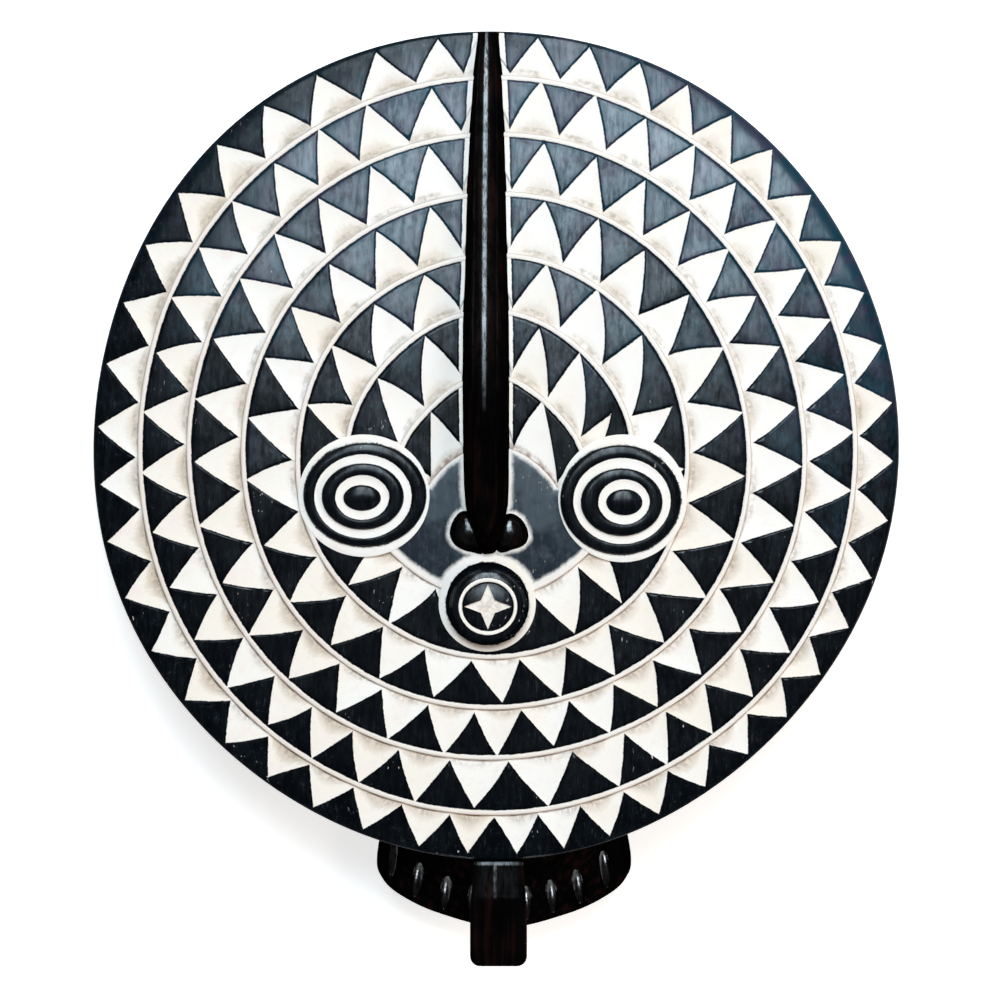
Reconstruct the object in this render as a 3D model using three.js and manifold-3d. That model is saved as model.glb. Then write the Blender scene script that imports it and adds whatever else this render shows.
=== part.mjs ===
// A sun mask carved from one block of wood: a round face board with rings of chip-carved
// triangles, a long nose fin, two ringed eyes, a tube mouth, a tab below the chin and an
// open-backed face cup behind. Millimetres. It is carved flat, face up (+Z) and chin towards -Y,
// then laid on its back on the cup's rim and the board's top edge.
import * as THREE from 'three'
import { mergeVertices } from 'three/addons/utils/BufferGeometryUtils.js'
import Module from 'manifold-3d'

const wasm = await Module()
wasm.setup()

// The board: its outline and the ring lines inside it, each an ellipse with a carver's wobble.
// A wobble is [lobes, height in mm, degrees of its first crest].
const RINGS = [
  { x: -2.1, y: 0.9, rx: 240.4, ry: 247.2, wobble: [[3, 0.9, -124], [4, 0.4, -64], [5, 1.0, 161]] },
  { x: -0.9, y: -0.9, rx: 212.2, ry: 217.3, wobble: [[3, 0.9, -50], [6, 0.5, 5]] },
  { x: -1.5, y: -1.9, rx: 182.2, ry: 184.5, wobble: [[3, 1.3, -32], [4, 0.6, 113]] },
  { x: -1.4, y: -4.5, rx: 149.6, ry: 151.9, wobble: [[3, 0.9, -12], [4, 0.7, 132]] },
  { x: -3.0, y: -7.2, rx: 114.9, ry: 117.7, wobble: [[3, 0.4, 37], [6, 0.5, 41]] },
  { x: -4.8, y: -5.7, rx: 82, ry: 82, wobble: [[4, 1.6, 0]] },
  { x: -4.2, y: -15.2, rx: 52, ry: 52, wobble: [[4, 2.2, 0]] },
  { x: -3.4, y: -44.6, rx: 40.4, ry: 39.8, wobble: [[4, 0.8, 0]] }
]
const BOARD_CROWN = 12 // how far the middle of the face stands above its edge
const BOARD_THICK = 15
const FRONT_BEVEL = 2.5
const BACK_BEVEL = 3.5
const BACK_RING = 0.5 // a ring of points behind, as a share of the board's radius
const SINK = 6 // how deep a piece of the face starts below the board's surface
const RIDGE_WIDE = 3.4
const RIDGE_PROUD = 0.6
const RIDGE_SLOPE = 0.6

// Carved triangles between ring lines: how many points a band has, and the angle of some of
// them from the top of the mask, clockwise. Those between are spaced evenly. A corner is where
// two white triangles meet at their base, halfway between points unless it is given too.
const BANDS = [
  {
    count: 45,
    points: [[0, 6.3], [5, 44.2], [6, 52.7], [9, 76.2], [11, 92.5], [13, 109.2], [20, 163.2], [22, 176.8],
      [24, 190.9], [25, 199.3], [28, 222.7], [30, 239.5], [32, 256.1], [34, 272.3], [36, 290.2],
      [41, 333.6], [43, 351.8]]
  },
  {
    count: 39,
    points: [[0, 7.2], [8, 78.6], [13, 124.5], [14, 133.7], [16, 151.2], [17, 159.7], [18, 171.6],
      [19, 183.6], [21, 202.8], [22, 211.2], [24, 228.8], [27, 256.2], [28, 265.8], [30, 285],
      [34, 321.2], [35, 330.1], [36, 338.7], [37, 349.5]]
  },
  {
    count: 33,
    points: [[0, 9.2], [5, 60.1], [6, 70.6], [7, 82.4], [10, 115.6], [12, 137.4], [14, 157.9], [16, 179.7],
      [17, 189.7], [20, 222.2], [22, 244], [23, 255.4], [24, 267.4], [26, 290.9], [27, 303.2],
      [29, 324.3], [31, 347.3]]
  },
  {
    count: 26,
    points: [[0, 11.3], [2, 36.9], [4, 65.7], [5, 81], [8, 124.3], [9, 138.1], [12, 178.4], [13, 194.4],
      [14, 207.5], [16, 234.3], [17, 248.4], [18, 263.7], [20, 291.9], [23, 331.2], [24, 344.8]],
    corners: [[0, 4.3], [1, 20.3], [2, 32.3], [8, 117.3], [13, 186.2], [18, 254.5], [20, 283.3],
      [25, 351.5]]
  },
  {
    count: 19,
    points: [[0, 16], [1, 32.7], [2, 51.5], [3, 71.3], [6, 138], [7, 154.7], [8, 180.5], [9, 186.5],
      [10, 212.7], [11, 229], [12, 246.5], [13, 262], [14, 285.2], [15, 304], [17, 338.8]],
    corners: [[0, 8.7], [1, 29], [2, 51.5], [3, 75], [6, 129], [7, 142], [8, 163], [10, 202], [11, 218],
      [12, 233], [14, 274.6], [15, 289.6], [16, 307.5], [18, 348.3]]
  },
  {
    count: 13,
    points: [[0, 21.3], [1, 41.5], [2, 64], [9, 275], [10, 304], [11, 331.3]],
    corners: [[0, 12], [1, 38.5], [2, 70.3], [3, 88], [9, 265], [10, 286.2], [11, 313.2], [12, 343]]
  },
  {
    count: 8,
    points: [[0, 37.9], [1, 80], [5, 275], [6, 314]],
    corners: [[0, 16.8], [1, 62], [2, 95], [6, 303.3], [7, 337.8]]
  }
]
const HIDDEN_POINT = 358 // the last point of every band, under the nose
const BASE_DEPTH = 3.4 // chip cut at the middle of a white triangle's base
const SIDE_DEPTH = 2.0 // and at its two base corners
const POINT_DEPTH = 0.5
const POINT_REACH = 0.97 // share of the band that a white triangle crosses
const TIP_REACH = 0.07 // and where a black one starts
const LAND_BEVEL = 0.9 // slope beside a black triangle, in plan

// The nose fin, from the top edge of the board to its tip: place along the face, middle,
// half width and height above the board's edge plane.
const NOSE = [
  { y: 246, x: -5.6, half: 7.3, high: 6 },
  { y: 172, x: -6.6, half: 12.0, high: 18.9 },
  { y: 100, x: -7.0, half: 13.6, high: 30 },
  { y: 72, x: -7.2, half: 14.6, high: 33.8 },
  { y: 0, x: -7.1, half: 14.4, high: 41.2 },
  { y: -36, x: -6.7, half: 13.4, high: 43 },
  { y: -45, x: -6.7, half: 11.4, high: 41.6 },
  { y: -54, x: -6.3, half: 9.2, high: 36.6 },
  { y: -60, x: -6.0, half: 7.2, high: 30 },
  { y: -65, x: -5.6, half: 4.4, high: 15 }
]
const NOSE_SECTION = [
  [1, 0], [0.86, 0.45], [0.62, 0.8], [0.3, 0.97], [-0.3, 0.97], [-0.62, 0.8], [-0.86, 0.45], [-1, 0]
]
const NOSTRILS = [{ x: -19.5, y: -52, rx: 9.6, ry: 11.6 }, { x: 9.2, y: -52.3, rx: 9.4, ry: 10.6 }]
const NOSTRIL = { steps: [[1, 0.5], [0.92, 4], [0.7, 7.8], [0.38, 10.3]], top: 11, sides: 14 }

// Each eye is stepped: [share of the outer radius, height over the board].
const EYES = [{ x: -80, y: -30.5, rx: 39.2, ry: 36.5 }, { x: 74.3, y: -32.1, rx: 38.4, ry: 38.1 }]
const EYE = {
  steps: [[1, 0.9], [0.94, 1.1], [0.88, 4.6], [0.77, 6.2], [0.73, 5.3], [0.64, 5.6], [0.57, 8.6], [0.45, 9.4],
    [0.39, 8.7], [0.29, 8.9], [0.24, 10.6]],
  top: 11.8,
  sides: 24
}

// The mouth tube with its lip, and the four-pointed star sunk between four teeth.
// The tube leans from its foot to its lip; its steps are [share of the lean, radius, height].
const MOUTH = {
  foot: { x: -6.4, y: -94.9 },
  lip: { x: -6.0, y: -96.5 },
  steps: [
    [1, 17, 18], [1, 17.6, 17.5], [1, 20.4, 16.4], [0.8, 22.9, 13.4], [0.2, 24.0, 5], [0, 24.8, 1.6],
    [0, 28, 1.3], [0, 29, -SINK]
  ],
  sides: 28
}
const BITE = { r: 15.3, floorR: 14.6, depth: 1.5 }
const STAR = { tip: 14.7, waist: 6.3, floorTip: 14.1, floorWaist: 5.7, depth: 3.4 }

// The plain cheeks between the eyes, nose and mouth.
const CHEEK = {
  top: -26, // the lower area ends here, under the eyes
  grow: 0.8,
  steps: [[0.6, 1.0], [1, 0.6], [1, -SINK]], // [share of the outline, height]
  middle: 1.2,
  sides: 40
}

// The face cup behind: an oval at the board that flares into a wide lip past the chin. Each
// outline is its right half, from forehead to chin, measured across from the cup's middle.
const CUP = {
  x: 3.6, deep: 68, wall: 9, flare: 1.5,
  front: [
    [0, -68], [30, -74], [50, -102], [56, -150], [54, -190], [47, -216], [38, -228], [27, -235],
    [13, -239], [0, -240]
  ],
  rim: [
    [0, -64], [36, -68], [58, -94], [64, -145], [69, -204], [77, -246], [74, -261], [62, -272],
    [38, -283], [0, -291.5]
  ],
  between: [0, 0.45, 0.75, 1], // rows of the wall, as shares of its depth
  perMark: 2
}
const SCOOPS = {
  spots: [-68, -52, -35.2, -17.9, -2.8, 12.3, 28.6, 44.2, 61], // across from the cup's middle
  along: 0.8, reach: 0.1, upright: 0.75, long: 16, wide: 4.2, deep: 4.6, facets: 6
}

// The tab below the chin.
const TAB = {
  x: 0.3, top: -238, widest: -278.5, bottom: -311.6, halfTop: 13.7, half: 17, front: -3, back: -21,
  corner: 6, edge: 1.6
}

// Lying pose: the tilt is worked out from the two places that touch, and a shaving is taken off them.
const FLAT_CUT = 1

const WOOD = new THREE.MeshStandardMaterial({
  name: 'carved_wood', color: 0x17181b, roughness: 0.42, metalness: 0
})

const rad = THREE.MathUtils.degToRad
const mix = THREE.MathUtils.lerp

function crown (x, y) {
  const edge = RINGS[0]
  const r2 = ((x - edge.x) / edge.rx) ** 2 + ((y - edge.y) / edge.ry) ** 2
  return BOARD_CROWN * (1 - r2)
}

// A point on a ring line, pushed outwards by some millimetres.
function ringPoint (ring, angle, out = 0) {
  const wobble = ([lobes, high, at]) => high * Math.cos(lobes * angle - rad(at))
  const push = ring.wobble.reduce((sum, wave) => sum + wobble(wave), out)
  return [ring.x + (ring.rx + push) * Math.sin(angle), ring.y + (ring.ry + push) * Math.cos(angle)]
}

function toManifold (geometry) {
  geometry.deleteAttribute('normal')
  geometry.deleteAttribute('uv')
  const merged = mergeVertices(geometry, 1e-4)
  const mesh = new wasm.Mesh({
    numProp: 3,
    vertProperties: new Float32Array(merged.attributes.position.array),
    triVerts: new Uint32Array(merged.index.array)
  })
  return new wasm.Manifold(mesh)
}

function fromPoints (points, faces) {
  const geometry = new THREE.BufferGeometry()
  geometry.setAttribute('position', new THREE.Float32BufferAttribute(points.flat(), 3))
  geometry.setIndex(faces.flat())
  return toManifold(geometry)
}

// A closed body from rows of points: each row a closed loop counter-clockwise seen from above,
// the first row on top. A row of one point closes an end.
function fromRows (rows) {
  const points = []
  const starts = rows.map(row => {
    const start = points.length
    points.push(...row)
    return start
  })
  const faces = []
  rows.slice(1).forEach((row, i) => {
    const upper = rows[i]
    const count = Math.max(upper.length, row.length)
    for (let j = 0; j < count; j++) {
      const k = (j + 1) % count
      const [a, b] = upper.length > 1 ? [starts[i] + j, starts[i] + k] : [starts[i], starts[i]]
      const [c, d] = row.length > 1 ? [starts[i + 1] + j, starts[i + 1] + k] : [starts[i + 1], starts[i + 1]]
      if (a !== b) faces.push([a, c, b])
      if (c !== d) faces.push([b, c, d])
    }
  })
  return fromPoints(points, faces)
}

// All the angles of a band from the given ones.
function spread (marks, count) {
  return Array.from({ length: count }, (_, k) => {
    const after = Math.max(1, marks.findIndex(([index]) => index >= k))
    const [[i0, a0], [i1, a1]] = [marks[after - 1], marks[after]]
    return rad(mix(a0, a1, (k - i0) / (i1 - i0)))
  })
}

// Angles of each tooth of a band: its base corner, the middle of its base, and its point.
function toothAngles ({ count, points, corners }) {
  const at = spread([...points, [count - 1, HIDDEN_POINT]], count)
  const before = k => k > 0 ? at[k - 1] : at[count - 1] - 2 * Math.PI
  const base = corners ? spread(corners, count) : at.map((angle, k) => (before(k) + angle) / 2)
  return at.map((point, k) => {
    const next = k + 1 < count ? base[k + 1] : base[0] + 2 * Math.PI
    return { corner: base[k], middle: (base[k] + next) / 2, point }
  })
}

// Faces between two closed rows of [angle, point], the second one outside or below the first.
// Their counts may differ.
function zip (first, second) {
  const faces = []
  const at = (row, i) => row[i % row.length][1]
  const angle = (row, i) => row[i % row.length][0] + (i >= row.length ? 2 * Math.PI : 0)
  let [i, j] = [0, 0]
  while (i < first.length || j < second.length) {
    const step = j >= second.length || (i < first.length && angle(first, i + 1) <= angle(second, j + 1))
    if (step) faces.push([at(first, i), at(first, i + 1), at(second, j)])
    else faces.push([at(first, i), at(second, j + 1), at(second, j)])
    if (step) i++
    else j++
  }
  return faces
}

// The board with all its bands and ring lines, worked outwards from the middle of the face, over
// the edge and back in behind.
function board () {
  const points = []
  const faces = []
  const add = ([x, y], rise) => points.push([x, y, crown(x, y) + rise]) - 1
  const edge = RINGS[0]
  const row = (ring, angles, out, rise, share = 1) => angles.map((angle, j) => {
    const [x, y] = ringPoint(ring, angle, out)
    const high = Array.isArray(rise) ? rise[j % rise.length] : rise
    return [angle, add([mix(ring.x, x, share), mix(ring.y, y, share)], high)]
  })
  let last
  const follow = next => {
    if (last) faces.push(...zip(last, next))
    last = next
  }
  for (let i = BANDS.length - 1; i >= 0; i--) {
    const [outer, inner] = [RINGS[i], RINGS[i + 1]]
    const teeth = toothAngles(BANDS[i])
    const base = teeth.flatMap(({ corner, middle }) => [corner, middle])
    const brim = teeth.flatMap(({ corner, point }) => [corner, point])
    const out = i === 0 ? -FRONT_BEVEL : 0
    const crossing = (angle, share) => {
      const [ax, ay] = ringPoint(inner, angle, RIDGE_WIDE)
      const [bx, by] = ringPoint(outer, angle, out)
      return [mix(ax, bx, share), mix(ay, by, share)]
    }
    if (!last) {
      const middle = add([inner.x, inner.y], 0)
      follow(row(inner, base, RIDGE_WIDE - RIDGE_SLOPE, RIDGE_PROUD))
      last.forEach(([, a], j) => faces.push([middle, last[(j + 1) % last.length][1], a]))
    } else follow(row(inner, base, RIDGE_WIDE - RIDGE_SLOPE, RIDGE_PROUD))
    const foot = row(inner, base, RIDGE_WIDE, [-SIDE_DEPTH, -BASE_DEPTH])
    follow(foot)
    const land = row(outer, brim, out, 0)
    const slope = LAND_BEVEL / outer.rx
    const tips = teeth.map(({ corner }) => add(crossing(corner, TIP_REACH), 0))
    teeth.forEach(({ point }, k) => {
      const j = (k + 1) % teeth.length
      const [[, left], [, middle], [, right]] = [foot[2 * k], foot[2 * k + 1], foot[2 * j]]
      const [[, before], [, above], [, after]] = [land[2 * k], land[2 * k + 1], land[2 * j]]
      const sharp = add(crossing(point, POINT_REACH), -POINT_DEPTH)
      const [bevelLeft, bevelRight] = [-slope, slope].map(turn => add(crossing(point + turn, POINT_REACH), 0))
      faces.push([left, middle, sharp], [middle, right, sharp])
      faces.push([left, sharp, bevelLeft], [left, bevelLeft, tips[k]])
      faces.push([right, tips[j], bevelRight], [right, bevelRight, sharp])
      faces.push([bevelLeft, sharp, above], [sharp, bevelRight, above])
      faces.push([tips[k], bevelLeft, before], [bevelLeft, above, before])
      faces.push([tips[j], after, bevelRight], [after, above, bevelRight])
    })
    last = land
    if (i > 0) follow(row(outer, brim, RIDGE_SLOPE, RIDGE_PROUD))
  }
  const around = last.map(([angle]) => angle)
  follow(row(edge, around, 0, -FRONT_BEVEL))
  follow(row(edge, around, 0, BACK_BEVEL - BOARD_THICK))
  follow(row(edge, around, -BACK_BEVEL, -BOARD_THICK))
  follow(row(edge, around.filter((_, j) => j % 2), 0, -BOARD_THICK, BACK_RING))
  const behind = add([edge.x, edge.y], -BOARD_THICK)
  last.forEach(([, a], j) => faces.push([a, last[(j + 1) % last.length][1], behind]))
  return fromPoints(points, faces)
}

// A loop of points in the order that fromRows takes, from the top of the mask.
function circle (sides, place) {
  return Array.from({ length: sides }, (_, i) => {
    const angle = -2 * Math.PI * i / sides
    return place(Math.sin(angle), Math.cos(angle))
  })
}

// A stepped or domed boss standing on the board.
function boss ({ x, y, rx, ry }, { steps, top, sides }) {
  const loop = (share, high) => circle(sides, (across, up) => {
    const [px, py] = [x + rx * share * across, y + ry * share * up]
    return [px, py, crown(px, py) + high]
  })
  const rows = steps.map(([share, high]) => loop(share, high)).reverse()
  return fromRows([[[x, y, crown(x, y) + top]], ...rows, loop(1, -SINK), [[x, y, crown(x, y) - SINK]]])
}

function nose () {
  const sections = NOSE.map(({ y, x, half, high }) => {
    const low = crown(x, y) - SINK
    return NOSE_SECTION.map(([across, up]) => [x + half * across, y, mix(low, high, up)])
  })
  const count = NOSE_SECTION.length
  const faces = []
  const last = (sections.length - 1) * count
  for (let s = 0; s < last; s += count) {
    for (let j = 0; j < count; j++) {
      const [a, b] = [s + j, s + (j + 1) % count]
      faces.push([a, b, a + count], [b, b + count, a + count])
    }
  }
  for (let j = 1; j < count - 1; j++) faces.push([0, j + 1, j], [last, last + j, last + j + 1])
  return fromPoints(sections.flat(), faces)
}

function mouth () {
  const { foot, lip, steps, sides } = MOUTH
  const base = crown(foot.x, foot.y)
  const rows = steps.map(([lean, r, high]) => circle(sides, (across, up) => {
    return [mix(foot.x, lip.x, lean) + r * across, mix(foot.y, lip.y, lean) + r * up, base + high]
  }))
  const [, , top] = rows[0][0]
  return fromRows([[[lip.x, lip.y, top]], ...rows, [[foot.x, foot.y, base - SINK]]])
}

// What is cut from the lip: a shallow bowl with a four-pointed star sunk in its floor.
function bite () {
  const { lip, foot, steps, sides } = MOUTH
  const top = crown(foot.x, foot.y) + steps[0][2]
  const round = (r, z) => circle(sides, (across, up) => [lip.x + r * across, lip.y + r * up, z])
  const star = (tip, waist, z) => Array.from({ length: 8 }, (_, i) => {
    const angle = -Math.PI * i / 4
    const r = i % 2 ? waist : tip
    return [lip.x + r * Math.sin(angle), lip.y + r * Math.cos(angle), z]
  })
  const middle = loop => [[lip.x, lip.y, loop[0][2]]]
  const cut = (upper, lower) => fromRows([middle(upper), upper, lower, middle(lower)])
  const bowl = cut(round(BITE.r, top + 1), round(BITE.floorR, top - BITE.depth))
  const floor = star(STAR.floorTip, STAR.floorWaist, top - STAR.depth)
  return bowl.add(cut(star(STAR.tip, STAR.waist, top), floor))
}

// Cheeks: the plain area inside the lowest ring line and below the brow line.
function cheeks () {
  const { top, grow, steps, middle, sides } = CHEEK
  const pad = ring => {
    const rows = steps.map(([share, rise]) => Array.from({ length: sides }, (_, i) => {
      const [x, y] = ringPoint(ring, -2 * Math.PI * i / sides, grow)
      const [px, py] = [mix(ring.x, x, share), mix(ring.y, y, share)]
      return [px, py, crown(px, py) + rise]
    }))
    const centre = crown(ring.x, ring.y)
    return fromRows([[[ring.x, ring.y, centre + middle]], ...rows, [[ring.x, ring.y, centre - SINK]]])
  }
  return [pad(RINGS[5]).trimByPlane([0, -1, 0], -top), pad(RINGS[7])]
}

// The cup's outline at a share of its depth, clockwise from the forehead, pushed in by some millimetres.
function cupLoop (share, inset, perMark = CUP.perMark) {
  const flare = share ** CUP.flare
  const half = CUP.front.map(([x, y], i) => [mix(x, CUP.rim[i][0], flare), mix(y, CUP.rim[i][1], flare)])
  const marks = [...half, ...half.slice(1, -1).reverse().map(([x, y]) => [-x, y])]
  const outline = new THREE.CatmullRomCurve3(marks.map(([x, y]) => new THREE.Vector3(CUP.x + x, y, 0)), true)
  const z = mix(SINK - BOARD_THICK, -BOARD_THICK - CUP.deep, share)
  return Array.from({ length: marks.length * perMark }, (_, i) => {
    const at = i / (marks.length * perMark)
    const { x, y } = outline.getPoint(at)
    const run = outline.getTangent(at)
    return new THREE.Vector3(x + run.y * inset, y - run.x * inset, z)
  })
}

// The wall of the cup, open behind, its front end sunk in the board.
function cup () {
  const loop = (share, inset) => cupLoop(share, inset).reverse().map(point => point.toArray())
  const outside = CUP.between.map(share => loop(share, 0))
  const inside = CUP.between.map(share => loop(share, CUP.wall)).reverse()
  return fromRows([...outside, ...inside, outside[0]])
}

// Leaf-shaped scoops in the flared lip, along the fall of the wall but nearly upright.
function scoops () {
  const { spots, along: level, reach, upright, long, wide, deep, facets } = SCOOPS
  const [above, at, below] = [-reach, 0, reach].map(step => cupLoop(level + step, 0, 12))
  const chin = at.length / 2
  const lip = at.map((_, i) => i).filter(i => Math.abs(i - chin) < 0.4 * chin)
  const gap = (i, wanted) => Math.abs(at[i].x - CUP.x - wanted)
  return spots.map(wanted => {
    const i = lip.reduce((best, next) => gap(next, wanted) < gap(best, wanted) ? next : best)
    const fall = below[i].clone().sub(above[i])
    const run = at[i + 1].clone().sub(at[i - 1])
    const along = fall.clone().addScaledVector(run, -upright * fall.x / run.x).normalize()
    const out = new THREE.Vector3().crossVectors(along, run).normalize()
    const across = new THREE.Vector3().crossVectors(out, along)
    const leaf = new THREE.SphereGeometry(1, facets, facets)
    leaf.rotateX(Math.PI / 2)
    leaf.scale(wide, deep, long)
    leaf.applyMatrix4(new THREE.Matrix4().makeBasis(across, out, along).setPosition(at[i]))
    return toManifold(leaf)
  })
}

function tab () {
  const { x, top, widest, bottom, halfTop, half, front, back, corner, edge } = TAB
  const outline = new THREE.Shape()
  outline.moveTo(x - halfTop, top)
  outline.lineTo(x - half, widest)
  outline.lineTo(x - half, bottom + corner)
  outline.absarc(x - half + corner, bottom + corner, corner, Math.PI, 1.5 * Math.PI)
  outline.absarc(x + half - corner, bottom + corner, corner, 1.5 * Math.PI, 2 * Math.PI)
  outline.lineTo(x + half, widest)
  outline.lineTo(x + halfTop, top)
  const solid = new THREE.ExtrudeGeometry(outline, {
    depth: front - back - 2 * edge,
    bevelThickness: edge,
    bevelSize: edge,
    bevelOffset: -edge,
    bevelSegments: 1,
    curveSegments: 4
  })
  solid.translate(0, 0, back + edge)
  return toManifold(solid)
}

// Everything joined in one block.
function carve () {
  let block = board()
  for (const pad of cheeks()) block = block.add(pad)
  block = block.add(cup()).add(tab())
  for (const cut of scoops()) block = block.subtract(cut)
  for (const eye of EYES) block = block.add(boss(eye, EYE))
  block = block.add(mouth()).subtract(bite())
  for (const lobe of NOSTRILS) block = block.add(boss(lobe, NOSTRIL))
  return block.add(nose())
}

// The block laid on its back, flattened where it rests, its middle over the origin.
function layDown (block) {
  const [rim] = cupLoop(1, 0)
  const [x, y] = ringPoint(RINGS[0], 0, -BACK_BEVEL)
  const edge = new THREE.Vector3(x, y, crown(x, y) - BOARD_THICK)
  const tilt = -Math.atan2(edge.z - rim.z, edge.y - rim.y)
  const floor = rim.applyAxisAngle(new THREE.Vector3(1, 0, 0), tilt).z + FLAT_CUT
  const tilted = block.rotate([THREE.MathUtils.radToDeg(tilt), 0, 0])
  const laid = tilted.translate([0, 0, -floor]).trimByPlane([0, 0, 1], 0)
  const { min, max } = laid.boundingBox()
  return laid.translate([-(min[0] + max[0]) / 2, -(min[1] + max[1]) / 2, 0])
}

function toMesh (name, block, material) {
  const { vertProperties, triVerts } = block.getMesh()
  const geometry = new THREE.BufferGeometry()
  geometry.setAttribute('position', new THREE.BufferAttribute(vertProperties, 3))
  geometry.setIndex(new THREE.BufferAttribute(triVerts, 1))
  geometry.computeVertexNormals()
  const mesh = new THREE.Mesh(geometry, material)
  mesh.name = name
  return mesh
}

const laid = layDown(carve())
const group = new THREE.Group()
group.add(toMesh('sun_mask', laid, WOOD))

export default group
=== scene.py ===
"""A carved and painted sun mask lying on a pale floor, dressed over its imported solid."""
import math
from contextlib import contextmanager

import bmesh
import bpy
import numpy as np
from bpy.props import FloatProperty, FloatVectorProperty, PointerProperty
from mathutils import Matrix, Vector


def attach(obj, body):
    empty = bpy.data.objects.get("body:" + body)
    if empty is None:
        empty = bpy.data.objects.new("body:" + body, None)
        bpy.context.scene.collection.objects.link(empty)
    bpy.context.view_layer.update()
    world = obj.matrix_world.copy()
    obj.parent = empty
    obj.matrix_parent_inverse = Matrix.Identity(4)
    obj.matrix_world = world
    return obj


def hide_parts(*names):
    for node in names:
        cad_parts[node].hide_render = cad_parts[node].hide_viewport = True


bl_info = {
    "name": "Sun mask",
    "version": (1, 0, 0),
    "blender": (4, 5, 0),
    "location": "3D View > Sidebar > Sun mask",
    "description": "Models a carved and painted sun mask on its packed solid",
    "category": "Object",
}

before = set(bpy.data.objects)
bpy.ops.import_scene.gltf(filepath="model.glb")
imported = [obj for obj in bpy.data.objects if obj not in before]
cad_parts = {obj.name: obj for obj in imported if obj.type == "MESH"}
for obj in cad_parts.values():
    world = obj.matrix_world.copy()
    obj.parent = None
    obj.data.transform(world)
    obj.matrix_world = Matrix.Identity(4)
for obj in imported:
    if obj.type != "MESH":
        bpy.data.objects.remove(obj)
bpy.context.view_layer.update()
NODE = "sun_mask"
TURN = 2 * math.pi

# The mask is modelled flat, face up and chin towards -Y, in millimetres, and then laid down.
TILT = math.radians(-12.55797190403647)
LAID_AT = Vector((1.09066, 33.51056, 66.09900))
LAID = Matrix.Scale(0.001, 4) @ Matrix.Translation(LAID_AT) @ Matrix.Rotation(TILT, 4, "X")

# The board's outline and the ring lines inside it: middle, half width, half height, and the
# carver's wobble as (lobes, height, degrees of its first crest).
RINGS = [
    (-2.1, 0.9, 240.4, 247.2, ((3, 0.9, -124), (4, 0.4, -64), (5, 1.0, 161))),
    (-0.9, -0.9, 212.2, 217.3, ((3, 0.9, -50), (6, 0.5, 5))),
    (-1.5, -1.9, 182.2, 184.5, ((3, 1.3, -32), (4, 0.6, 113))),
    (-1.4, -4.5, 149.6, 151.9, ((3, 0.9, -12), (4, 0.7, 132))),
    (-3.0, -7.2, 114.9, 117.7, ((3, 0.4, 37), (6, 0.5, 41))),
    (-4.8, -5.7, 82.0, 82.0, ((4, 1.6, 0),)),
    (-4.2, -15.2, 52.0, 52.0, ((4, 2.2, 0),)),
    (-3.4, -44.6, 40.4, 39.8, ((4, 0.8, 0),)),
]
BOARD_TOP = 246.8
BOARD_CROWN = 12.0
BOARD_THICK = 15.0
FRONT_BEVEL = 2.5
BACK_BEVEL = 3.5
SINK = 6.0
EDGE_ROUND = 4.5
EDGE_DROP = 0.5

# The board's side, as (distance past its outline, height), and the rings of its plain back.
SIDE_ROWS = ((-1.4, -1.0), (-0.5, -1.8), (-0.1, -2.7), (0, -4.0), (0, -7.5), (0, BACK_BEVEL - BOARD_THICK))
BACK_CORNER = (-1.2, 1.1)
BACK_SHARES = (0.95, 0.89, 0.82, 0.75, 0.68, 0.61, 0.54, 0.47, 0.4, 0.33, 0.26, 0.19, 0.12, 0.05)
BACK_ROUGH = 0.25

# Bands of triangles, outermost first: how many, the angle of some points clockwise from the top,
# and of some base corners. Those between are spaced evenly. With no corners given, each is halfway
# between two points.
BANDS = [
    (45, ((0, 6.3), (5, 44.2), (6, 52.7), (9, 76.2), (11, 92.5), (13, 109.2), (20, 163.2), (22, 176.8),
          (24, 190.9), (25, 199.3), (28, 222.7), (30, 239.5), (32, 256.1), (34, 272.3), (36, 290.2),
          (41, 333.6), (43, 351.8)), ()),
    (39, ((0, 7.2), (8, 78.6), (13, 124.5), (14, 133.7), (16, 151.2), (17, 159.7), (18, 171.6),
          (19, 183.6), (21, 202.8), (22, 211.2), (24, 228.8), (27, 256.2), (28, 265.8), (30, 285),
          (34, 321.2), (35, 330.1), (36, 338.7), (37, 349.5)), ()),
    (33, ((0, 9.2), (5, 60.1), (6, 70.6), (7, 82.4), (10, 115.6), (12, 137.4), (14, 157.9), (16, 179.7),
          (17, 189.7), (20, 222.2), (22, 244), (23, 255.4), (24, 267.4), (26, 290.9), (27, 303.2),
          (29, 324.3), (31, 347.3)), ()),
    (26, ((0, 11.3), (2, 36.9), (4, 65.7), (5, 81), (8, 124.3), (9, 138.1), (12, 178.4), (13, 194.4),
          (14, 207.5), (16, 234.3), (17, 248.4), (18, 263.7), (20, 291.9), (23, 331.2), (24, 344.8)),
     ((0, 4.3), (1, 20.3), (2, 32.3), (8, 117.3), (13, 186.2), (18, 254.5), (20, 283.3), (25, 351.5))),
    (19, ((0, 16), (1, 32.7), (2, 51.5), (3, 71.3), (6, 138), (7, 154.7), (8, 180.5), (9, 186.5),
          (10, 212.7), (11, 229), (12, 246.5), (13, 262), (14, 285.2), (15, 304), (17, 338.8)),
     ((0, 8.7), (1, 29), (2, 51.5), (3, 75), (6, 129), (7, 142), (8, 163), (10, 202), (11, 218),
      (12, 233), (14, 274.6), (15, 289.6), (16, 307.5), (18, 348.3))),
    (13, ((0, 21.3), (1, 41.5), (2, 64), (9, 275), (10, 304), (11, 331.3)),
     ((0, 12), (1, 38.5), (2, 70.3), (3, 88), (9, 265), (10, 286.2), (11, 313.2), (12, 343))),
    (8, ((0, 37.9), (1, 80), (5, 275), (6, 314)),
     ((0, 16.8), (1, 62), (2, 95), (6, 303.3), (7, 337.8))),
]
HIDDEN_POINT = 358.0

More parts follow.
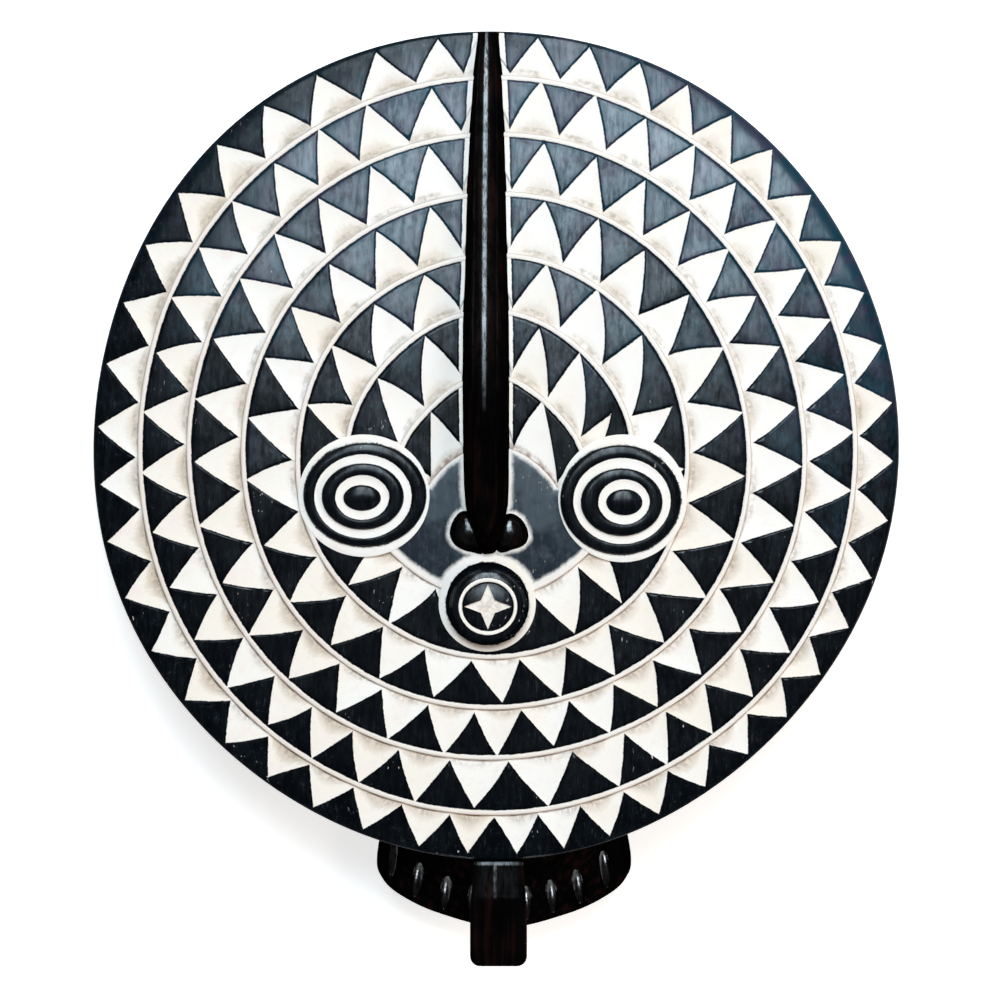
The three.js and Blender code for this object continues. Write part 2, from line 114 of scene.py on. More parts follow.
# Depth of a cut triangle at the middle of its base, at the base's corners and at its point.
BASE_DEPTH = 3.4
SIDE_DEPTH = 2.0
POINT_DEPTH = 0.5

# The rows of points across a band and the columns across a white triangle, as shares, and the
# columns beside it in the black, as (distance, most share of the black).
BAND_ROWS = (
    0, 0.02, 0.06, 0.12, 0.2, 0.28, 0.36, 0.44, 0.52, 0.6, 0.68, 0.76, 0.84, 0.9, 0.94, 0.965, 0.985, 1,
)
PALE_COLUMNS = (0, 0.12, 0.3, 0.5, 0.7, 0.88, 1)
WALL_COLUMNS = ((0.45, 0.1), (1.1, 0.24), (1.5, 0.34))
DARK_SHARES = (0.25, 0.5, 0.75)

# The width of a cut's wall, the share of a band where the sides of its triangles start, and half the
# least width of the white.
WALL_WIDE = 0.95
TIP_REACH = 0.04
HAIR = 0.15

# The carver's hand: how many points run into the ring line, how far those, the short ones and those
# at the edge reach, the bow of a triangle's sides, the lean and the swell of the black lands, and
# the groove between them and the ring line.
MERGED = 0.45
MERGED_REACH = (1.0, 1.05)
SHORT_REACH = (0.945, 0.985)
EDGE_REACH = (0.955, 1.0)
BOW = 0.42
LAND_LEAN = 0.006
LAND_SWELL = 0.05
GROOVE = 0.45
GROOVE_WIDE = 1.1

# A ring line's section, as (distance from its foot, share of its height), from both its sides.
RIDGE_WIDE = 3.4
RIDGE_INSIDE = ((0.3, 0.15), (0.75, 0.8))
RIDGE_OUTSIDE = ((1.5, 1.0), (2.3, 0.95), (2.85, 0.35))

# What the paint is told: the paint edge of plain black and white, how far the foot of a triangle is
# where there is none, the mark of a ring line, how strong the painted shadow just outside the brow
# ring is, and how strong the brown stain and painted shade in the star's middle are.
ALL_BLACK = -9.0
ALL_WHITE = 1.5
NO_FOOT = 30.0
RIDGE_MARK = -3.0
BROW_SHADOW = 0.85
STAR_STAIN_AND_SHADE = 0.45

# The nose fin: place along the face, middle, half width and height over the board's edge plane.
NOSE = [
    (246, -5.6, 7.3, 6), (215, -6.2, 10.0, 11.8), (172, -6.6, 12.0, 18.9), (143, -6.9, 12.8, 23.2),
    (100, -7.0, 13.6, 30), (72, -7.2, 14.6, 33.8), (35, -7.2, 14.7, 38.4), (0, -7.1, 14.4, 41.2),
    (-24, -6.9, 14.1, 42.6), (-36, -6.7, 13.4, 43), (-45, -6.7, 11.4, 41.6), (-54, -6.3, 9.2, 36.6),
    (-60, -6.0, 7.2, 30), (-63.5, -5.8, 5.4, 22), (-65.5, -5.6, 3.6, 12),
]

# The white line beside the fin, below and at its top, and where it ends, the steps that the fin is
# drawn in, and how far its crest leans.
FIN_LINE = 1.4
FIN_LINE_TOP = 1.9
NOSE_TIP_PAINT = -38.0
NOSE_STEPS = 60
CREST_LEAN = -1.3

# The right half of its section, as shares of its half width and of its height.
NOSE_SECTION = [
    (1, 0), (0.93, 0.25), (0.86, 0.45), (0.76, 0.64), (0.62, 0.8), (0.46, 0.91), (0.24, 0.98), (0, 1),
]

# The shine of the fin over its section and along it, as places and their values.
CREST_SHINE = ((0, 0.88, 0.97, 1), (0, 0.01, 0.9, 1))
FIN_SHINE = ((20, 45, 75, 120, 228, 246), (0, 0.25, 0.85, 0.7, 0.8, 0.2))

# The nostrils: their highest place and their outline, clockwise from the top.
NOSTRIL_LEFT = (
    (-17.0, -53.5),
    ((-21.4, -39.6), (-13.0, -42.0), (-6.5, -52.0), (-8.5, -64.6), (-15.8, -64.2), (-21.6, -62.6),
     (-26.4, -59.2), (-28.9, -53.2), (-27.0, -45.6)),
)
NOSTRIL_RIGHT = (
    (6.4, -53.3),
    ((6.6, -41.0), (12.6, -43.2), (16.8, -48.6), (18.2, -54.8), (15.6, -60.0), (9.0, -62.6),
     (0.6, -64.4), (-3.0, -56.0), (0.4, -45.0)),
)

# Their rows, as (share of the outline, rise), and their shine, as rises and their values.
NOSTRIL_ROWS = [
    (1, -6), (1, 0.6), (0.97, 2.4), (0.9, 4.8), (0.78, 7.3), (0.62, 9.0), (0.44, 10.0), (0.25, 10.45),
    (0.06, 10.6),
]
NOSTRIL_SHINE = ((8.4, 9.6), (0.01, 0.8))
NOSTRIL_SIDES = 48

# Each step of an eye, from its foot up: its rise over the board and its paint edge, the distance in
# millimetres into white paint, negative in black. Then the ovals of each eye at those steps.
EYE_STEPS = [
    (-6, 1), (1.2, 1), (1.7, 1), (1.7, 0), (3.4, -2), (4.7, -3), (5.3, -3), (5.7, -3), (5.9, -3),
    (5.97, -3), (5.97, -2), (5.8, 0), (5.4, 1), (5.6, 1), (6.0, 0), (7.6, -2), (8.6, -3), (9.1, -3),
    (9.45, -3), (9.6, -3), (9.66, -3), (9.66, -2), (9.4, 0), (8.8, 1), (8.9, 1), (9.2, 0), (9.9, -2),
    (10.5, -3), (11.1, -3), (11.5, -3), (11.75, -3), (11.8, -4),
]
LEFT_EYE = [
    (-80.0, -30.5, 39.2, 36.5), (-80.0, -30.5, 39.2, 36.5), (-79.9, -30.4, 38.2, 35.3),
    (-79.4, -30.1, 36.8, 31.1), (-79.4, -30.1, 36.6, 30.9), (-79.4, -30.1, 36.3, 30.6),
    (-79.5, -30.1, 35.6, 29.9), (-79.6, -30.2, 34.7, 29.1), (-79.8, -30.3, 33.6, 28.1),
    (-80.0, -30.5, 32.2, 27.0), (-80.2, -30.7, 30.6, 26.0), (-80.5, -31.0, 29.0, 25.0),
    (-80.5, -31.0, 28.4, 24.4), (-80.6, -31.0, 25.4, 20.6), (-80.6, -31.0, 24.5, 19.8),
    (-80.6, -31.0, 24.3, 19.6), (-80.6, -31.0, 24.0, 19.4), (-80.6, -31.0, 23.3, 18.8),
    (-80.7, -31.1, 22.4, 18.0), (-80.7, -31.2, 21.2, 17.1), (-80.8, -31.3, 19.6, 15.8),
    (-80.8, -31.4, 17.6, 14.5), (-80.9, -31.6, 16.0, 13.3), (-80.9, -31.6, 15.4, 12.7),
    (-81.0, -31.8, 11.9, 8.3), (-81.0, -31.9, 11.2, 7.7), (-81.0, -31.9, 11.0, 7.5),
    (-81.0, -31.9, 10.4, 7.0), (-81.0, -31.9, 9.1, 6.0), (-81.0, -31.9, 6.8, 4.4),
    (-81.0, -31.9, 3.4, 2.2), (-81.0, -31.9, 0.8, 0.6),
]
RIGHT_EYE = [
    (74.3, -32.1, 38.4, 38.1), (74.3, -32.1, 38.4, 38.1), (74.2, -32.2, 37.4, 36.9),
    (73.1, -33.1, 36.1, 32.8), (73.1, -33.1, 35.9, 32.6), (73.1, -33.1, 35.6, 32.3),
    (73.1, -33.2, 34.9, 31.6), (73.2, -33.3, 34.0, 30.7), (73.3, -33.4, 32.9, 29.6),
    (73.5, -33.5, 31.6, 28.3), (73.7, -33.6, 30.2, 26.9), (73.9, -33.7, 29.0, 25.6),
    (73.9, -33.7, 28.4, 25.0), (73.8, -34.1, 25.2, 21.0), (73.7, -34.4, 24.4, 20.2),
    (73.7, -34.4, 24.2, 20.0), (73.8, -34.4, 23.9, 19.8), (73.8, -34.4, 23.2, 19.2),
    (73.9, -34.4, 22.3, 18.4), (74.1, -34.4, 21.1, 17.4), (74.4, -34.4, 19.2, 15.9),
    (74.8, -34.3, 17.0, 14.4), (75.1, -34.2, 15.2, 13.4), (75.1, -34.2, 14.6, 12.8),
    (75.3, -34.4, 11.4, 8.4), (75.3, -34.5, 10.8, 7.8), (75.3, -34.5, 10.6, 7.6),
    (75.3, -34.5, 10.0, 7.1), (75.3, -34.5, 8.7, 6.1), (75.3, -34.5, 6.4, 4.5),
    (75.3, -34.5, 3.2, 2.2), (75.3, -34.5, 0.8, 0.6),
]
EYE_SIDES = 96

# The mouth tube, from its foot to its lip and into the bowl: middle, half width, half height, height
# over the board at its foot, and paint edge.
MOUTH = [
    (-6.4, -94.9, 29.0, 29.0, -6, 1), (-6.4, -94.9, 29.0, 28.6, 1.2, 1), (-6.4, -94.9, 28.2, 27.8, 1.7, 1),
    (-6.3, -94.9, 24.9, 24.8, 1.7, 0), (-6.3, -94.9, 24.5, 24.4, 2.6, -1), (-6.2, -95.1, 24.2, 24.1, 5.5, -2),
    (-6.1, -95.5, 23.9, 23.8, 8.5, -3), (-6.0, -95.8, 23.7, 23.5, 11.2, -3),
    (-6.0, -96.0, 23.2, 23.0, 12.9, -3), (-6.0, -96.2, 22.5, 22.2, 14.3, -3),
    (-6.0, -96.3, 21.7, 21.4, 15.3, -3), (-6.0, -96.4, 20.9, 20.5, 16.1, -4),
    (-6.0, -96.4, 20.1, 19.7, 16.7, -5), (-6.0, -96.5, 19.2, 18.8, 17.15, -5),
    (-6.0, -96.5, 18.4, 17.9, 17.4, -5), (-6.0, -96.5, 17.5, 17.0, 17.55, 0),
    (-6.0, -96.5, 17.0, 16.5, 18.0, 1), (-6.0, -96.5, 15.9, 15.3, 18.0, 1),
    (-6.0, -96.5, 15.4, 14.7, 17.5, 0), (-6.0, -96.5, 15.0, 14.2, 16.5, -1),
    (-6.0, -96.5, 14.5, 13.7, 16.1, -1), (-6.0, -96.5, 11.0, 10.4, 16.5, -1.5),
    (-6.0, -96.5, 6.0, 5.6, 16.8, -2), (-6.0, -96.5, 0.8, 0.8, 16.9, -2),
]

# The tube follows the dome at its foot and levels out over the height of its shoulder.
MOUTH_SHOULDER = 12.0
MOUTH_TOP = 18.0
MOUTH_SIDES = 96

# The star-shaped bowl: the reach of its tips and waists at the lip and at its floor, its depth, its
# height over its width, and how far its cutter stands over the lip.
STAR = {"tip": 14.7, "waist": 6.3, "floor_tip": 14.1, "floor_waist": 5.7, "deep": 3.4}
STAR_SQUAT = 0.96
STAR_OVER = 4.0

# The rim of the mouth keeps its gloss down to this far below the lip, at the chin side and above.
GLOSS_BELOW = 1.8
GLOSS_ABOVE = 5.0

# The plain cheeks, and the width of the white line round them, at the jaw and under the eyes.
CHEEK_MIDDLE = (-4.0, -56.0)
CHEEK_TOP = -26.0
CHEEK_RISE = 0.9
CHEEK_FOOT = 0.35
CHEEK_ROUNDS = 46
CHEEK_SIDES = 220
CHEEK_OVER_RING = 0.8
CHEEK_OVER_BROW = 2.2
JAW_BELOW = -44.0
JAW_LINE = 2.6
CHEEK_LINE = 1.4
NOSTRIL_LINE = 1.5
MOUTH_LINE = 1.6

# The face cup: right halves of its outline at the board and at its open rim, from its middle.
CUP_X = 3.6
CUP_DEEP = 68.0
CUP_WALL = 9.0
CUP_FLARE = 1.5
CUP_FRONT = [
    (0, -68), (30, -74), (50, -102), (56, -150), (54, -190), (47, -216), (38, -228), (27, -235),
    (13, -239), (0, -240),
]
CUP_RIM = [
    (0, -64), (36, -68), (58, -94), (64, -145), (69, -204), (77, -246), (74, -261), (62, -272),
    (38, -283), (0, -291.5),
]
CUP_ROWS = (0, 0.15, 0.3, 0.42, 0.52, 0.62, 0.72, 0.8, 0.87, 0.93, 0.97, 1)
CUP_STEPS = 6
CUP_LIP_ROUND = 1.8

# The leaf-shaped scoops: places across from the cup's middle, share of its depth, how far each
# turns from the fall of the wall to upright, half sizes, and the stretch of the lip that has them.
SCOOP_SPOTS = (-68, -52, -35.2, -17.9, -2.8, 12.3, 28.6, 44.2, 61)
SCOOP_AT = 0.8
SCOOP_FALL = 0.1
SCOOP_UPRIGHT = 0.75
SCOOP_SIZE = (4.2, 3.8, 16)
SCOOP_STEPS = 12
SCOOP_STRETCH = (0.6, 1.4)

# The tab below the chin: its outline, and the front that slopes down to a shoulder at its top.
TAB_X = 0.3
TAB_TOP = -238.0
TAB_WIDEST = -278.5
TAB_BOTTOM = -311.6
TAB_HALF_TOP = 13.7
TAB_HALF = 17.0
TAB_FRONT = -3.0
TAB_BACK = -21.0
TAB_CORNER = 6.0
TAB_EDGE = 1.6
TAB_SHOULDER = (-251.6, -250.8, -249.8, -249.0, -247.6)
TAB_SWELL = -272.0
TAB_LEAN = 0.105
TAB_DROP = 4.0
TAB_CREST = -1.8
TAB_CREST_WIDE = 1.3
TAB_DULL = 0.02
TAB_BRIGHT = 0.75

# The photograph's view: what its middle looks at on the board, and how wide it is there.
VIEW_MIDDLE = Vector((-0.6, -31.6, 0.0))
VIEW_WIDE = 593.4
VIEW_FROM = 10000.0
PICTURE = (994, 995)
SENSOR = 36.0
FLOOR_SIZE = 16.0


def mix(a, b, share):
    """Between two values."""
    return a + (b - a) * share


def crown(x, y):
    """Height of the domed face over its edge plane."""
    middle_x, middle_y, wide, tall, _ = RINGS[0]
    return BOARD_CROWN * (1 - ((x - middle_x) / wide) ** 2 - ((y - middle_y) / tall) ** 2)


def ring_points(ring, angles, out=0.0):
    """Points of a ring line at angles clockwise from the top, pushed outwards by out."""
    x, y, wide, tall, wobble = ring
    angles = np.asarray(angles, float)
    push = out + sum(high * np.cos(lobes * angles - math.radians(at)) for lobes, high, at in wobble)
    return np.stack([x + (wide + push) * np.sin(angles), y + (tall + push) * np.cos(angles)], axis=-1)


def spread(marks, count):
    """All the angles of a band from the given ones, in radians."""
    index, degrees = zip(*marks)
    return np.radians(np.interp(np.arange(count), index, degrees))


def after_it(angles):
    """For each triangle the angle of the next one, counted on past a full turn."""
    after = np.roll(angles, -1)
    after[-1] += TURN
    return after


def tooth_angles(band):
    """Corner and point of each triangle of a band."""
    count, points, corners = band
    point = spread(points + ((count - 1, HIDDEN_POINT),), count)
    if corners:
        return spread(corners, count), point
    before = np.roll(point, 1)
    before[0] -= TURN
    return (before + point) / 2, point


def math_node(operation, swapped=False):
    """A sum of a wire and a number or another wire, as a method."""

    def method(self, other):
        a, b = (other, self) if swapped else (self, other)
        return self.shade.node("ShaderNodeMath", {"operation": operation}, {0: a, 1: b})

    return method


class Wire:
    """A node's output that takes part in sums."""

    def __init__(self, shade, socket):
        self.shade = shade
        self.socket = socket

    __add__ = __radd__ = math_node("ADD")
    __sub__ = math_node("SUBTRACT")
    __rsub__ = math_node("SUBTRACT", swapped=True)
    __mul__ = __rmul__ = math_node("MULTIPLY")
    __truediv__ = math_node("DIVIDE")
    __pow__ = math_node("POWER")
    most = math_node("MAXIMUM")

    def size(self):
        """Its distance from 0."""
        return self.shade.node("ShaderNodeMath", {"operation": "ABSOLUTE"}, {0: self})


class Shade:
    """A material being wired."""

    def __init__(self, name):
        self.material = bpy.data.materials.new(name)
        self.material.use_nodes = True
        self.tree = self.material.node_tree
        self.tree.nodes.clear()

    def node(self, kind, settings=None, sockets=None, output=0):
        """Adds a node, sets it, feeds its sockets, and gives back one output."""
        made = self.tree.nodes.new(kind)
        for key, value in (settings or {}).items():
            if key == "stops":
                stops = made.color_ramp.elements
                while len(stops) < len(value):
                    stops.new(0.5)
                for stop, (at, tint) in zip(stops, value):
                    stop.position = at
                    stop.color = tint
            else:
                setattr(made, key, value)
        for key, value in (sockets or {}).items():
            if isinstance(value, Wire):
                self.tree.links.new(value.socket, made.inputs[key])
            else:
                made.inputs[key].default_value = value
        return Wire(self, made.outputs[output]) if made.outputs else None

    def place(self):
        """Object coordinates turned back to the flat mask, in metres."""
        middle = -(Matrix.Rotation(-TILT, 3, "X") @ LAID_AT) * 0.001
        where = self.node("ShaderNodeTexCoord", output="Object")
        turned = {"Vector": where, "Location": middle, "Rotation": (-TILT, 0, 0)}
        return self.node("ShaderNodeMapping", {"vector_type": "POINT"}, turned)

    def flat(self, place):
        """The place across and along the flat mask, in millimetres."""
        parts = self.node("ShaderNodeSeparateXYZ", {}, {0: place}).socket.node.outputs
        return Wire(self, parts["X"]) * 1000, Wire(self, parts["Y"]) * 1000

    def stretch(self, vector, scale):
        return self.node("ShaderNodeVectorMath", {"operation": "MULTIPLY"}, {0: vector, 1: scale})

    def noise(self, vector, scale, detail=2.0, rough=0.5):
        sockets = {"Vector": vector, "Scale": scale, "Detail": detail, "Roughness": rough}
        return self.node("ShaderNodeTexNoise", {}, sockets, "Fac")

    def attribute(self, name):
        return self.node("ShaderNodeAttribute", {"attribute_name": name}, {}, "Fac")

    def smooth(self, value, low, high):
        """0 below low and 1 above high, eased between."""
        sockets = {"Value": value, "From Min": low, "From Max": high}
        return self.node("ShaderNodeMapRange", {"interpolation_type": "SMOOTHSTEP"}, sockets)

    def blend(self, mask, a, b):
        settings = {"data_type": "RGBA"}
        return self.node("ShaderNodeMix", settings, {0: mask, 6: colour(a), 7: colour(b)}, 2)

    def finish(self, inputs, height=None, depth=0.0001):
        """The surface itself, with its bump, wired to the output."""
        if height is not None:
            inputs["Normal"] = self.node("ShaderNodeBump", {}, {"Height": height, "Distance": depth})
        surface = self.node("ShaderNodeBsdfPrincipled", {}, inputs)
        self.node("ShaderNodeOutputMaterial", {}, {"Surface": surface})
        return self.material


def colour(value):
    """A colour with its alpha, or a wire as it is."""
    return value if isinstance(value, Wire) else (*value[:3], 1.0)


def fin_sides(shade, x, y):
    """Distance in millimetres from the nose fin's side, positive outside it."""
    low, high = NOSE[-1][0], NOSE[0][0]
    share = (y - low) / (high - low)
    widest = 20

    def ramp(values):
        stops = [((at - low) / (high - low), (value / widest,) * 3 + (1,)) for at, value in values]
        return shade.node("ShaderNodeValToRGB", {"stops": stops}, {"Fac": share}) * widest

    half = ramp([(at, value) for at, _, value, _ in reversed(NOSE)])
    middle = ramp([(at, -value) for at, value, _, _ in reversed(NOSE)])
    return (x + middle).size() - half


class PaintedFace(Shade):
    """Black and white paint over carved wood, parted by the paint_edge attribute."""

    def __init__(self, name, paints, slate=False):
        super().__init__(name)
        self.paints = paints
        self.slate = slate
        spot = self.spot = self.place()
        self.x, self.y = self.flat(spot)
        self.ragged = self.noise(spot, 650, 3, 0.6) - 0.5
        self.wander = self.noise(spot, 130, 2) - 0.5
        self.patches = self.noise(spot, 70, 3, 0.55)
        self.streaks = self.noise(self.stretch(spot, (1, 0.16, 1)), 330, 3, 0.6)
        self.hairs = self.noise(self.stretch(spot, (1, 0.1, 1)), 1000, 2, 0.6)
        self.mottle = self.noise(self.stretch(spot, (1, 0.5, 1)), 420, 3, 0.65)
        self.fine = self.noise(spot, 1100, 2, 0.6)
        self.blots = self.noise(spot, 260, 4, 0.65)
        self.lower = 1 - self.smooth(self.y, -110, 70)
        self.left = self.smooth(self.x * -1, -20, 200)
        self.tooth = self.attribute("tooth")
        radius = (self.x * self.x + self.y * self.y) ** 0.5
        uneven = (self.mottle - 0.5) * 34 + (self.patches - 0.5) * 44
        self.outer = self.smooth(radius - self.x * 0.11 - self.y * 0.06 + uneven, 207, 238)

    def by_tooth(self, sockets):
        """A value of its own for each triangle."""
        return self.noise(self.node("ShaderNodeCombineXYZ", {}, sockets), 1, 0)

    def line(self):
        """Distance into the white, with the wavering of the brush."""
        fin_line = self.smooth(self.y, 100, 240) * (FIN_LINE_TOP - FIN_LINE) + FIN_LINE
        fin_line = fin_line - fin_sides(self, self.x, self.y)
        above_tip = self.smooth(self.y, NOSE_TIP_PAINT - 4, NOSE_TIP_PAINT)
        off_board = self.smooth(self.y, BOARD_TOP - 1.2, BOARD_TOP - 0.4)
        edge = self.attribute("paint_edge").most(fin_line * above_tip - (1 - above_tip) * 3 - off_board * 20)
        if self.slate:
            return edge + self.ragged * 1.6 + self.wander * 2 + (self.streaks - 0.5) * 1.6
        return edge + self.ragged * 0.9 + self.wander * 0.9

    def haze_and_sheen(self):
        """Blue and violet: a painted sheen on the black, and a tint on the cheeks."""
        where = self.smooth(self.noise(self.spot, 60, 2), 0.42, 0.6)
        return self.blend(where, self.paints.haze_and_sheen, self.paints.violet_haze_and_sheen)

    def specks(self, black):
        """Flecks of white on the black."""
        speck = self.smooth(self.noise(self.stretch(self.spot, (1, 0.35, 1)), 700, 1), 0.7, 0.76)
        speck = speck * self.smooth(self.noise(self.spot, 34, 1), 0.6, 0.68) * (0.15 + self.lower * 0.75)
        return self.blend(speck, black, self.paints.thin_white)

    def black(self):
        """Glossy black, worn, brushed with strokes painted lighter as glints, dusty at the rim, and with a
        painted blue sheen towards the top and the right.
        """
        paints = self.paints
        thin = self.smooth(self.streaks * 0.45 + self.patches * 0.3 + self.hairs * 0.25, 0.42, 0.62)
        black = self.blend(thin, paints.black, paints.worn_black)
        # Brush strokes and grain, painted lighter as glints where they catch the light.
        strokes_and_glints = self.smooth(self.hairs * 0.6 + self.mottle * 0.4, 0.54, 0.7)
        strokes_and_glints = strokes_and_glints * self.smooth(self.patches, 0.4, 0.62)
        black = self.blend(strokes_and_glints * 0.5, black, paints.hair)
        dust = self.smooth(self.fine * 0.5 + self.blots * 0.5, 0.55, 0.68)
        dust = dust * self.smooth(self.mottle, 0.42, 0.62)
        black = self.blend(dust * (0.3 + self.outer * 0.4), black, paints.hair)
        # Painted sheen: the black turns blue and violet towards the top and the right, where the soft light's
        # reflection shows, less so in the outer band.
        height = self.y + self.smooth(self.x, 110, 210) * 70 + (self.mottle - 0.5) * 170
        sheened = self.smooth(height + (self.patches - 0.5) * 120 + (self.tooth - 0.5) * 70, 0, 200)
        return self.blend(sheened * (1 - self.outer * 0.85), black, self.haze_and_sheen())

    def slate_grey(self):
        """Grey of the cheeks, darker across their middle."""
        paints = self.paints
        across = 1 - self.smooth(((self.y + 64) / 15) ** 2, 0.0, 2.2)
        blotch = across * 0.8 + (self.patches - 0.5) * 2 + self.wander * 1.6 + (self.mottle - 0.5) * 0.6
        grey = self.blend(self.smooth(blotch, -0.1, 0.9) * 0.9, paints.slate, paints.deep_slate)
        grey = self.blend(0.12, grey, self.haze_and_sheen())
        brushed = self.smooth(self.streaks * 0.5 + self.mottle * 0.5, 0.48, 0.7) * 0.2
        return self.blend(brushed, grey, paints.pale_slate)

    def white(self):
        """White of the cut triangles and ring lines, with grime and painted shade in their hollows."""
        paints, lower, left, blots = self.paints, self.lower, self.left, self.blots
        base = self.attribute("base")
        across = self.attribute("across")
        first = self.by_tooth({0: self.tooth * 37, 1: 0.3, 2: 0.6})
        second = self.by_tooth({0: 0.7, 1: self.tooth * 53, 2: 0.2})
        own = self.node("ShaderNodeCombineXYZ", {}, {0: across * 14 + self.tooth * 300, 1: base, 2: 0.0})
        lengthwise = self.noise(self.stretch(own, (0.16, 0.6, 1)), 1, 3, 0.6)
        crosswise = self.noise(self.stretch(own, (0.45, 0.14, 1)), 1, 3, 0.6)
        aside = across - (first - 0.5) * 2
        on_ridge = self.smooth(base * -1, 0.3, 1.5)
        dome = base / (3.5 + second * 10) + aside * aside * 0.9
        dome = dome + (crosswise - 0.5) * 1.3 + (blots - 0.5) * 0.8
        dome = (1 - self.smooth(dome, 0.3, 1.15)) * (1 - on_ridge)
        smudge = 1 - self.smooth(((base - 2.2) / 1.8) ** 2, 0.1, 1.5)
        smudge = smudge * (1 - self.smooth(aside * aside, 0.1, 0.7))
        smudge = smudge * self.smooth(lengthwise * 0.5 + blots * 0.5, 0.4, 0.66)
        # Dirt and painted shade in the hollow at the foot of a triangle.
        dirt_and_shade = dome * self.smooth(crosswise * 0.6 + blots * 0.4, 0.42, 0.64)
        # Painted shade: a thin line along the crease at the foot of the ring line.
        foot = (1 - self.smooth((base - 0.3).size(), 0.2, 0.8)) * (1 - across * across)
        foot = foot * self.smooth(lengthwise, 0.3, 0.6)
        # Grime and painted shade together, stronger below and at the left.
        brown = (dirt_and_shade * 0.5 * (lower * 0.6 + 0.4)).most(foot * (0.25 + lower * 0.5 + left * 0.2))
        # Painted shadow outside the brow ring, and brown stain and painted shade in the star.
        stain = self.attribute("stain") * self.smooth(crosswise * 0.4 + blots * 0.6, 0.36, 0.56)

        aged = self.noise(self.spot, 24, 2) + (second - 0.5) * 0.7 + lower * 0.15 + left * 0.15
        thin = self.smooth(blots * 0.6 + self.fine * 0.4, 0.5, 0.72) * (0.1 + lower * 0.22)
        # Painted shade, tan, in the hollow at the foot of each triangle under the ring line, more at the left
        # and below.
        shaded = dome * (0.35 + left * 0.25 + lower * 0.15) * self.smooth(second, 0.3, 0.6)
        white = self.blend(self.smooth(aged, 0.48, 0.85), paints.white, paints.warm_white)
        for mask, tint in (
            (self.smooth(self.noise(self.spot, 90, 2), 0.5, 0.7) * (0.35 + left * 0.5), paints.pink_white),
            (thin, paints.thin_white),
            (on_ridge * (0.25 + left * 0.45 + lower * 0.2), paints.ridge_white),
            (shaded, paints.tan),
            (smudge * 0.65 * (1 - lower * 0.75), paints.olive),
            (brown, paints.grime_and_shade),
            (stain, paints.stain),
        ):
            white = self.blend(mask, white, tint)
        return white

    def gloss(self, line, pale):
        """Coat of the black, patchy and lost at its rims."""
        worn = self.patches * 0.3 + self.streaks * 0.3 + self.hairs * 0.15 + self.mottle * 0.25
        coat = (0.25 + self.smooth(worn, 0.36, 0.62) * 0.75) * (1 - pale) * (1 - self.attribute("matte"))
        if self.slate:
            return coat * 0.6
        coat = coat * self.smooth(line * -1, 0.45, 1.6) * (0.6 + self.smooth(line * -1, 1, 4.5) * 0.4)
        return coat * (0.72 + self.tooth * 0.56) * (1 - self.outer * 0.7)

    def paint(self):
        """The whole finish."""
        line = self.line()
        pale = self.smooth(line, -1.8, 1.4) * 0.92 if self.slate else self.smooth(line, -0.2, 0.2)
        ground = self.slate_grey() if self.slate else self.black()
        black_height = self.streaks * 0.6 + self.hairs * 0.3 + self.mottle * 0.3
        white_height = self.blots * 0.6 + self.fine * 0.25 + 0.5
        inputs = {
            "Base Color": self.blend(pale, self.specks(ground), self.white()),
            "Roughness": 0.6 + (self.blots - 0.5) * 0.15,
            "Coat Weight": self.gloss(line, pale),
            "Coat Roughness": 0.2,
            "Coat IOR": 1.305,
            "Specular IOR Level": 0.0,
        }
        return self.finish(inputs, black_height * (1 - pale) + white_height * pale, 0.00016)


def stained_wood(name, tones, shiny, scale=1.0, depth=0.0003, by_place=True):
    """Dark stained wood, its grain up the mask, polished where the shine attribute says."""
    dark, light, red = tones
    shade = Shade(name)
    place = shade.place()
    along = shade.stretch(place, (1, 0.05, 1))
    grain = shade.noise(along, 300 * scale, 4, 0.6)
    hairs = shade.noise(along, 1500 * scale, 2, 0.6)
    patches = shade.noise(place, 45 * scale, 3, 0.55)
    chips = shade.noise(shade.stretch(place, (1, 0.4, 1)), 260 * scale, 3, 0.7)
    tone = shade.blend(shade.smooth(grain * 0.5 + patches * 0.5, 0.4, 0.66), dark, light)
    streaks = shade.noise(along, 210 * scale, 2) + patches * 0.4
    tone = shade.blend(shade.smooth(streaks, 0.72, 0.92), tone, red)
    coat = (shade.smooth(chips * 0.6 + hairs * 0.4, 0.36, 0.6) * 0.85 + 0.15) * shiny
    if by_place:
        coat = coat * shade.attribute("shine")
    inputs = {
        "Base Color": tone,
        "Roughness": 0.45 + grain * 0.2,
        "Coat Weight": coat,
        "Coat Roughness": 0.16,
        "Coat IOR": 1.45,
        "Specular IOR Level": 0.0,
    }
    return shade.finish(inputs, grain * 0.5 + hairs * 0.2 + chips * 0.2, depth)


def material(context, name):
    """The finish of that name, made once."""
    found = bpy.data.materials.get(name)
    if found:
        return found
    paints = context.scene.mask_paints
    if name == "face_paint":
        return PaintedFace(name, paints).paint()
    if name == "cheek_paint":
        return PaintedFace(name, paints, slate=True).paint()
    if name == "dark_wood":
        return stained_wood(name, (paints.nose, paints.worn_nose, paints.red_nose), 1.0)
    if name == "polished_wood":
        return stained_wood(name, (paints.nose, paints.worn_nose, paints.nose), 1.0, by_place=False)
    back = (paints.back, [part * 2.2 for part in paints.back], [part * 1.5 for part in paints.back])
    return stained_wood(name, back, 0.25, 0.7, 0.0006, by_place=False)


def deselect():
    if bpy.context.object and bpy.context.object.mode != "OBJECT":
        bpy.ops.object.mode_set(mode="OBJECT")
    bpy.ops.object.select_all(action="DESELECT")


def pick(piece):
    """Selects this piece alone."""
    deselect()
    piece.select_set(True)
    bpy.context.view_layer.objects.active = piece


